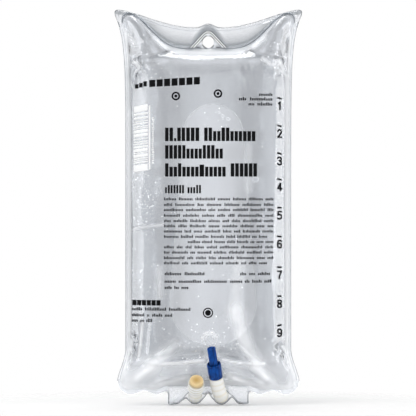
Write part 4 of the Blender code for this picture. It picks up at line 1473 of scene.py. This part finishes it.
def white_room():
    """White backdrop for camera, gloss and glass, with soft grey gaps between its panels."""
    world = bpy.data.worlds.new("white_room")
    bpy.context.scene.world = world
    world.use_nodes = True
    tree = world.node_tree
    tree.nodes.clear()
    direction = add_node(tree, "ShaderNodeTexCoord").outputs["Generated"]
    parts = add_node(tree, "ShaderNodeSeparateXYZ", inputs={"Vector": direction})
    azimuth = add_node(tree, "ShaderNodeMath", {"operation": "ARCTAN2"}, {
        0: parts.outputs["X"], 1: parts.outputs["Y"],
    })
    height = add_node(tree, "ShaderNodeMath", {"operation": "ABSOLUTE"}, {0: parts.outputs["Z"]})
    greys = []
    for angle, waves, interpolation, darkest in (
        (azimuth, PANELS_ROUND, "SMOOTHSTEP", PANEL_GREY),
        (height, BANDS_UP, "LINEAR", BAND_GREY),
    ):
        phase = add_node(tree, "ShaderNodeMath", {"operation": "MULTIPLY"}, {
            0: angle.outputs[0], 1: waves,
        })
        wave = add_node(tree, "ShaderNodeMath", {"operation": "COSINE"}, {0: phase.outputs[0]})
        grey = add_node(tree, "ShaderNodeMapRange", {"interpolation_type": interpolation}, {
            "Value": wave.outputs[0], "From Min": -1.0, "From Max": 1.0, "To Min": darkest,
            "To Max": 1.0,
        })
        greys.append(grey.outputs["Result"])
    room = add_node(tree, "ShaderNodeMath", {"operation": "MULTIPLY"}, {0: greys[0], 1: greys[1]})

    path = add_node(tree, "ShaderNodeLightPath")
    gloss_or_glass = add_node(tree, "ShaderNodeMath", {"operation": "MAXIMUM"}, {
        0: path.outputs["Is Glossy Ray"], 1: path.outputs["Is Transmission Ray"],
    })
    plain, backdrop, white = [
        add_node(tree, "ShaderNodeBackground", inputs={
            "Color": linear("#FFFFFF"), "Strength": strength,
        })
        for strength in (ROOM_LIGHT, room.outputs[0], 1.0)
    ]
    unseen = add_node(tree, "ShaderNodeMixShader", inputs={
        0: gloss_or_glass.outputs[0], 1: plain.outputs[0], 2: backdrop.outputs[0],
    })
    shown = add_node(tree, "ShaderNodeMixShader", inputs={
        0: path.outputs["Is Camera Ray"], 1: unseen.outputs[0], 2: white.outputs[0],
    })
    add_node(tree, "ShaderNodeOutputWorld", inputs={"Surface": shown.outputs[0]})


def floor():
    """Satin white table, a little lit from itself to the camera, so that it meets the backdrop."""
    material, tree, place = new_material("white_table")
    path = add_node(tree, "ShaderNodeLightPath")
    seen = add_node(tree, "ShaderNodeMath", {"operation": "MAXIMUM"}, {
        0: path.outputs["Is Camera Ray"], 1: path.outputs["Is Transmission Ray"],
    })
    seen_all = add_node(tree, "ShaderNodeMath", {"operation": "MAXIMUM"}, {
        0: seen.outputs[0], 1: path.outputs["Is Glossy Ray"],
    })
    painted_glow = add_node(tree, "ShaderNodeMath", {"operation": "MULTIPLY"}, {
        0: seen_all.outputs[0], 1: FLOOR_GLOW,
    })
    table = add_node(tree, "ShaderNodeBsdfPrincipled", inputs={
        "Base Color": linear("#F2F2F2"),
        "Roughness": 0.5,
        "Specular IOR Level": 0.15,
        "Emission Color": linear("#FFFFFF"),
        "Emission Strength": painted_glow.outputs[0],
    })
    reach = add_node(tree, "ShaderNodeVectorMath", {"operation": "LENGTH"}, {0: place})
    fade = add_node(tree, "ShaderNodeMapRange", {"interpolation_type": "SMOOTHSTEP"}, {
        "Value": reach.outputs["Value"], "From Min": FLOOR_FADE[0], "From Max": FLOOR_FADE[1],
    })
    beyond = add_node(tree, "ShaderNodeBsdfTransparent")
    between_shaders(tree, fade.outputs["Result"], table, beyond)
    bm = bmesh.new()
    bmesh.ops.create_grid(bm, x_segments=1, y_segments=1, size=0.8)
    bmesh.ops.translate(bm, verts=bm.verts, vec=(0.0, 0.0, FLOOR_Z * MM))
    new_piece("table", bm, material)


def studio():
    bpy.context.scene.view_settings.view_transform = "Standard"
    camera()
    white_room()
    floor()
    for sizes in LAMPS:
        lamp(*sizes)


# Print

INK_RISE = 0.06
INK_THICKNESS = 0.04
WORD_SPACE = 0.9           # between the small words, in letters
STEM_RISE = 0.28           # share of a small line by which its tall letters stand out
BAR_LEFT = 133.9           # the white field's pixel columns
BAR_RIGHT = 148.1
BAR_SLOPE = 0.13


def printed(name, bm, material, surface, longest=1.3):
    """Lays flat shapes drawn at x and z onto the film, as ink in faces of at most this length."""
    for _ in range(4):
        long_edges = [edge for edge in bm.edges if edge.calc_length() > longest * MM]
        bmesh.ops.subdivide_edges(bm, edges=long_edges, cuts=1, use_grid_fill=True)
        bmesh.ops.triangulate(bm, faces=[face for face in bm.faces if len(face.verts) > 4])
    lost = []
    for vert in bm.verts:
        start = Vector((vert.co.x, -0.2, vert.co.z))
        hit, facing = surface.ray_cast(start, Vector((0.0, 1.0, 0.0)))[:2]
        if hit is None:
            lost.append(vert)
        else:
            vert.co = hit + facing * INK_RISE * MM
    bmesh.ops.delete(bm, geom=lost, context="VERTS")
    bmesh.ops.recalc_face_normals(bm, faces=bm.faces)
    bm.faces.ensure_lookup_table()
    for face in bm.faces:
        if face.normal.y > 0.0:
            face.normal_flip()
    bmesh.ops.solidify(bm, geom=bm.faces[:], thickness=-INK_THICKNESS * MM)
    piece = new_piece(name, bm, material)
    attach(piece, "bag")


def bar(bm, left, top, right, bottom, slope=0.0):
    """Flat bar between pixels of the photograph, on a line that rises by slope across."""
    x0, z0 = from_pixel(left, bottom)
    x1, z1 = from_pixel(right, top)
    across = max(1, round((x1 - x0) / 2.5))
    up = max(1, round((z1 - z0) / 4.0))
    made = bmesh.ops.create_grid(bm, x_segments=across, y_segments=up, size=0.5)
    for vert in made["verts"]:
        x = x0 + (x1 - x0) * (vert.co.x + 0.5)
        z = z0 + (z1 - z0) * (vert.co.y + 0.5) + slope * (x - x0)
        vert.co = (x * MM, 0.0, z * MM)


def greeked(bm, left, top, right, bottom, words, draw, letter, gap=0.3):
    """A line of print as plain blocks: words with a share of the line, made of letter blocks."""
    total = sum(words) + WORD_SPACE * (len(words) - 1)
    unit = (right - left) / total
    px = left
    for word in words:
        end = px + word * unit
        count = max(1, round((end - px) / letter))
        width = (end - px) / count
        for k in range(count):
            rise = draw.choice((0.0, 0.0, 0.0, STEM_RISE))
            stem_top = top + (bottom - top) * (STEM_RISE - rise)
            bar(bm, px + k * width, stem_top, px + (k + 1) * width - gap, bottom)
        px = end + WORD_SPACE * unit


# Blocks of the bold lines: width in pixels, and height as a share of the line
BLOCKS = {
    "T": (7.6, 1.0), "W": (12.0, 1.0), "l": (3.6, 1.0), "x": (7.2, 0.74), "m": (11.4, 0.74),
    "i": (3.6, 0.74), "t": (4.6, 0.9), ".": (2.8, 0.22), " ": (3.4, 0.0),
}
SLIT = 0.85                # between the stems of a wide block, in pixels


def block_line(bm, pattern, left, top, right, bottom, gap):
    """A bold line as a row of plain blocks, fitted between two pixel columns."""
    unit = (right - left) / sum(BLOCKS[kind][0] for kind in pattern)
    px = left
    for kind in pattern:
        width, share = BLOCKS[kind]
        end = px + width * unit - gap
        stem_top = bottom - (bottom - top) * share
        if kind in "TWxm":
            stems = 3 if kind in "Wm" else 2
            stem = (end - px - SLIT * (stems - 1)) / stems
            for k in range(stems):
                left_side = px + k * (stem + SLIT)
                bar(bm, left_side, stem_top, left_side + stem, bottom)
        elif share > 0.0:
            bar(bm, px, stem_top, end, bottom)
        px += width * unit


FINE_LINES = (199.0, 204.6, 209.7, 215.3, 220.7, 225.8, 231.0, 236.3, 241.5, 246.7, 251.9, 257.4, 262.6)
TICK_PIXELS = (98.6, 126.2, 153.7, 179.5, 207.8, 236.5, 267.2, 296.0, 325.0)
TICK_SLOPES = (-0.2, -0.22, -0.2, -0.22, 0.0, -0.12, -0.06, 0.0, 0.16)
TICK_LEFT = 277.0
TICK_RIGHT = 281.4
BOLD_LINES = (             # blocks, left, top, right and bottom in pixels, and gap between blocks
    ("T.TW TxTixm", 165.4, 128.2, 256.0, 141.6, 0.95), ("TTlxxlTx", 165.4, 145.6, 223.6, 159.0, 0.95),
    ("lxlxxtixx TTT", 165.4, 163.6, 257.6, 176.8, 0.95), ("iTTT mT", 165.4, 185.2, 202.0, 193.4, 1.0),
)
BATCH_BLOCKS = (           # first left side and middle row, width, rise and pitch per block, heights
    (135.2, 86.9, 3.5, 1.2, 4.2, (4.4, 4.6, 5.0)),
    (149.6, 84.2, 6.0, 0.38, 7.4, (7.0, 7.2, 7.4, 7.4, 7.4, 7.4, 7.4)),
)
SMALL_LINES = (            # row, left and right column, and shares of the line that its words take
    (273.3, 165.0, 205.0, (5, 6)), (273.3, 240.0, 270.0, (2, 2, 4)), (280.8, 165.0, 227.0, (4, 8, 8)),
    (280.8, 230.0, 271.5, (5, 2, 4, 3)), (287.0, 165.0, 189.0, (3, 2, 3)),
    (308.6, 132.0, 191.0, (4, 8, 8)), (314.6, 132.0, 173.0, (5, 1, 4, 3)),
    (320.0, 132.0, 153.0, (3, 2, 3)), (95.0, 258.7, 272.5, (1,)), (99.6, 238.7, 272.5, (2, 6)),
    (104.6, 248.3, 272.5, (2, 5)),
)
RINGS = (                  # pixel of the middle, and outer and inner radius in pixels
    (176.1, 96.8, 4.3, 2.6), (176.1, 96.8, 1.5, 0.0), (217.9, 94.5, 4.3, 2.6), (217.9, 94.5, 1.5, 0.0),
    (208.0, 312.0, 5.1, 3.9), (208.0, 312.0, 2.9, 0.0),
)


def black_print(surface, material):
    draw = random.Random(11)
    bm = bmesh.new()
    for line in BOLD_LINES:
        block_line(bm, *line)
    for left, middle, width, rise, pitch, heights in BATCH_BLOCKS:
        for k, height in enumerate(heights):
            px, py = left + pitch * k, middle - rise * k
            bar(bm, px, py - height / 2.0, px + width, py + height / 2.0, slope=0.06)
    printed("bold_print", bm, material, surface)

    bm = bmesh.new()
    for k, py in enumerate(FINE_LINES):
        left = 188.0 if k == 8 else 164.3
        right = 267.0 if k in (7, 12) else 273.5
        words = [draw.uniform(2.0, 8.0) for _ in range(7 if k < 4 else 8)]
        greeked(bm, left, py - 1.5, right, py + 1.4, words, draw, 1.5, 0.5)
    for py, left, right, words in SMALL_LINES:
        greeked(bm, left, py - 1.7, right, py + 1.5, words, draw, 1.7, 0.5)
    greeked(bm, 132.5, 297.5, 161.5, 305.0, (1,), draw, 4.8, 0.6)
    printed("fine_print", bm, material, surface)

    bm = bmesh.new()
    for py, slope in zip(TICK_PIXELS, TICK_SLOPES):
        rise = slope * (TICK_RIGHT - TICK_LEFT) / 2.0
        bar(bm, TICK_LEFT, py - 1.0 + rise, TICK_RIGHT, py + 0.8 + rise, slope=slope)
    printed("scale_marks", bm, material, surface, longest=0.45)

    bm = bmesh.new()
    for sizes in RINGS:
        ring(bm, *sizes)
    printed("register_rings", bm, material, surface)

    numbers = bmesh.new()
    for number, py in enumerate(TICK_PIXELS, start=1):
        digit(numbers, str(number), 279.4, py + 3.0)
    printed("scale_numbers", numbers, material, surface, longest=0.45)


def ring(bm, px, py, outer, inner):
    """Flat ring or dot, centred on a pixel of the photograph, with its radii in pixels."""
    x, z = from_pixel(px, py)
    place = Matrix.Translation(Vector((x, 0.0, z)) * MM) @ Matrix.Rotation(math.pi / 2.0, 4, "X")
    made = bmesh.ops.create_circle(
        bm, cap_ends=inner == 0.0, segments=32, radius=outer * PIXEL * MM, matrix=place
    )
    if inner > 0.0:
        edges = list({edge for vert in made["verts"] for edge in vert.link_edges})
        inner_ring = bmesh.ops.create_circle(
            bm, cap_ends=False, segments=32, radius=inner * PIXEL * MM, matrix=place
        )
        edges += list({edge for vert in inner_ring["verts"] for edge in vert.link_edges})
        bmesh.ops.bridge_loops(bm, edges=edges)


# The plain scale numbers, as strokes in a box one wide and one high
FIGURES = {
    "1": (((0.22, 0.8), (0.62, 1.0), (0.62, 0.0)),),
    "2": (((0.0, 0.78), (0.12, 0.94), (0.5, 1.0), (0.88, 0.93), (1.0, 0.74), (0.88, 0.52), (0.0, 0.0),
           (1.0, 0.0)),),
    "3": (((0.0, 0.86), (0.14, 0.97), (0.5, 1.0), (0.88, 0.94), (0.96, 0.76), (0.84, 0.58), (0.42, 0.52)),
          ((0.42, 0.52), (0.88, 0.45), (1.0, 0.24), (0.88, 0.06), (0.5, 0.0), (0.12, 0.03), (0.0, 0.14))),
    "4": (((0.74, 0.0), (0.74, 1.0), (0.0, 0.28), (1.12, 0.28)),),
    "5": (((0.94, 1.0), (0.12, 1.0), (0.06, 0.54), (0.5, 0.62), (0.88, 0.54), (1.0, 0.3), (0.88, 0.07),
           (0.5, 0.0), (0.12, 0.03), (0.0, 0.14)),),
    "6": (((0.98, 0.87), (0.84, 0.97), (0.5, 1.0), (0.14, 0.92), (0.0, 0.7), (0.0, 0.25), (0.12, 0.06),
           (0.5, 0.0), (0.88, 0.06), (1.0, 0.28), (0.88, 0.52), (0.5, 0.6), (0.1, 0.5)),),
    "7": (((0.0, 1.0), (1.0, 1.0), (0.55, 0.45), (0.36, 0.0)),),
    "8": (((0.5, 0.53), (0.12, 0.62), (0.04, 0.78), (0.14, 0.94), (0.5, 1.0), (0.86, 0.94), (0.96, 0.78),
           (0.88, 0.62), (0.5, 0.53), (0.1, 0.43), (0.0, 0.24), (0.12, 0.06), (0.5, 0.0), (0.88, 0.06),
           (1.0, 0.24), (0.9, 0.43), (0.5, 0.53)),),
    "9": (((0.02, 0.13), (0.16, 0.03), (0.5, 0.0), (0.86, 0.08), (1.0, 0.3), (1.0, 0.75), (0.88, 0.94),
           (0.5, 1.0), (0.12, 0.94), (0.0, 0.72), (0.12, 0.48), (0.5, 0.4), (0.9, 0.5)),),
}
FIGURE_WIDTH = 3.6         # in pixels, between the middles of the strokes, as the next two are
FIGURE_HEIGHT = 7.4
FIGURE_STROKE = 1.6


def digit(bm, text, px, top):
    """One plain number in narrow bold strokes, centred on a pixel column and hung from a row."""
    radius = FIGURE_STROKE / 2.0 * PIXEL
    upright = Matrix.Rotation(math.pi / 2.0, 4, "X")
    for line in FIGURES[text]:
        points = []
        for across, up in line:
            x, z = from_pixel(
                px + FIGURE_WIDTH * (across - 0.5),
                top + FIGURE_STROKE / 2.0 + FIGURE_HEIGHT * (1.0 - up),
            )
            points.append(Vector((x, 0.0, z)))
            place = Matrix.Translation(points[-1] * MM) @ upright
            bmesh.ops.create_circle(bm, cap_ends=True, segments=12, radius=radius * MM, matrix=place)
        for start, end in zip(points, points[1:]):
            reach = end - start
            side = Vector((-reach.z, 0.0, reach.x)).normalized() * radius
            corners = [start + side, start - side, end - side, end + side]
            bm.faces.new([bm.verts.new(point * MM) for point in corners])


def white_print(surface, material):
    """The white field of bars beside the print, and its row of dots."""
    draw = random.Random(5)
    bm = bmesh.new()
    bar(bm, BAR_LEFT, 106.9, BAR_RIGHT, 113.2, slope=0.17)
    py = 114.4
    while py < 163.6:
        height = draw.choice((0.9, 1.3, 2.0, 3.0))
        bar(bm, BAR_LEFT, py, BAR_RIGHT, py + height, slope=BAR_SLOPE)
        py += height + draw.choice((0.8, 1.2, 1.8))
    bar(bm, BAR_LEFT, 165.6, BAR_RIGHT, 172.4, slope=BAR_SLOPE)
    for py in range(106, 170, 8):
        bar(bm, 149.0, py, 150.7, py + 8.0, slope=BAR_SLOPE)
    py = 118.0
    while py < 164.0:
        height = draw.choice((0.8, 1.2, 1.6))
        left = draw.uniform(151.9, 152.7)
        bar(bm, left, py, left + draw.uniform(1.4, 2.4), py + height)
        py += height + 0.9
    printed("white_bars", bm, material, surface, longest=0.9)


# Building

SLEEVE_LENGTH = 9.0
SLEEVE_WALL = 0.45
SLEEVE_BEAD_HEIGHT = 0.5
SLEEVE_BEAD_PITCH = 3.0
SLEEVE_STEPS = 36
STOPPER_RADIUS = 5.45
STOPPER_HEIGHT = 3.8
CUP_RADIUS = 5.65
CUP_LENGTH = 12.4
GROOVE_DEPTH = 4.2
STEM_RADIUS = 3.4
STEM_LENGTH = 14.1


def main():
    studio()
    chamber = made_finer(fitted_to_welds(filled_chamber()))
    columns, rows = chamber.shape[1:3]
    for side in (FRONT, BACK):
        for column in range(columns):
            for row in range(rows):
                x, y, z = chamber[side, column, row]
                hold = smooth_step(abs(y) / WELD_HELD)
                chamber[side, column, row, 1] += OUTWARD[side] * hold * relief(x, z, side)

    film = clear_pvc_film()
    front = film_piece("front_sheet", "front_film", FRONT, chamber, film)
    back = film_piece("back_sheet", "back_film", BACK, chamber, film)
    liquid = liquid_piece(chamber, saline())
    depsgraph = bpy.context.evaluated_depsgraph_get()
    films = (BVHTree.FromObject(front, depsgraph), BVHTree.FromObject(back, depsgraph))
    # Weld line looks: the grey is partly painted shade, the dark painted shade, and the white a painted
    # highlight that also shines though it is no lamp.
    weld_lines(chamber, films, {
        "clear": weld_plastic("pale_weld_line", "#D6DBE0", 0.3, 0.6),
        "grey": weld_plastic("grey_weld_line_painted_shade", "#7C848C", 0.4, 0.8),
        "dark": weld_plastic("weld_groove_painted_shade", "#343C45", 0.7, 1.0),
        "white": weld_plastic("weld_line_painted_highlight", "#FCFDFE", 0.8, 1.0, painted_glow=0.3),
    })
    bubbles(liquid)
    rest_mark(films, weld_plastic("pressed_line", "#F4F6F8", 0.25, 0.6))

    cream = milky_plastic("soft_pvc_tube", "#F7F5EE", "#EFE9DA", 4.6)
    # On the beaded sleeve the creamier rings fall in the valleys between its beads, as painted shade.
    milky_with_painted_light = milky_plastic("shrunk_sleeve", "#F8F8F5", "#E3DDCB", 3.0)
    ports(cream, milky_with_painted_light, tan_rubber(), blue_polyethylene())

    black_print(films[FRONT], printing_ink("black_ink", ("#050608", "#0B0C0F")))
    white_print(films[FRONT], printing_ink("white_ink", ("#FFFFFF", "#F4F6F8")))
    for node in ("injection_membrane_tube", "outlet_membrane_tube"):
        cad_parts[node].data.materials[0] = cream


def ports(cream, milky_with_painted_light, rubber, blue):
    """Both ports, each section with points of distance along the port's line and radius."""
    end = INJECTION["tube_end"]
    radius = INJECTION["tube_radius"]
    outside = along(PORT_ROOT, end, radius)
    bore = along(end, PORT_ROOT, radius - PORT_WALL)
    turned("injection_tube", INJECTION, outside + bore, cream, "bag",
           ["injection_port_tube"], bored=True)

    inner = radius + SEAT_GAP
    outer = inner + SLEEVE_WALL
    start = end - SLEEVE_LENGTH
    section = [(start, inner), (start, outer)]
    for k in range(SLEEVE_STEPS):
        distance = start + SLEEVE_LENGTH * (k + 0.5) / SLEEVE_STEPS
        bead_height = SLEEVE_BEAD_HEIGHT * abs(math.sin(math.pi * (distance - end) / SLEEVE_BEAD_PITCH))
        section.append((distance, outer + bead_height))
    section += [(end, outer), (end, inner)]
    turned("beaded_sleeve", INJECTION, section, milky_with_painted_light, "bag",
           ["injection_sleeve"], bored=True)

    seat = end + SEAT_GAP
    top = seat + STOPPER_HEIGHT
    plug = radius - PORT_WALL - SEAT_GAP
    section = [(seat - 2.6, plug - 1.0), (seat - 1.6, plug), (seat, plug)]
    section += [(seat, STOPPER_RADIUS - 0.15), (seat + 0.15, STOPPER_RADIUS)]
    section += rounded(top, STOPPER_RADIUS, 0.9)
    section += [(top, 3.5), (top - 0.25, 3.3), (top - 0.25, 3.0), (top, 2.8)]
    section += [(top, 2.2), (top - 0.3, 1.9), (top - 0.45, 1.0), (top - 0.45, 0.4)]
    turned("rubber_stopper", INJECTION, section, rubber, "bag",
           ["injection_stopper"])

    end = OUTLET["tube_end"]
    radius = OUTLET["tube_radius"]
    outside = along(PORT_ROOT, end - 0.4, radius) + rounded(end, radius, 0.4)
    bore = along(end, PORT_ROOT, radius - PORT_WALL)
    turned("outlet_tube", OUTLET, outside + bore, cream, "bag",
           ["outlet_port_tube"], bored=True)

    start = end + SEAT_GAP
    rim = start + CUP_LENGTH
    floor_of_groove = rim - GROOVE_DEPTH
    stem_top = rim + STEM_LENGTH
    section = [(min(end + 5.9, floor_of_groove - 1.4), 4.5), (start, 4.5)]
    section += [(start, CUP_RADIUS - 0.25), (start + 0.3, CUP_RADIUS)]
    section += rounded(rim, CUP_RADIUS, 0.5)
    section += [(rim, 4.8), (rim - 0.12, 4.6), (rim - 0.35, 4.5)]
    section += [(floor_of_groove, 4.5), (floor_of_groove, 3.5), (floor_of_groove + 0.3, STEM_RADIUS)]
    section += rounded(stem_top, STEM_RADIUS, 0.5)
    section += [(stem_top, 2.5), (stem_top - 0.3, 2.3), (stem_top - 0.3, 0.4)]
    turned("pull_off_protector", OUTLET, section, blue, "protector",
           ["outlet_protector"])


main()
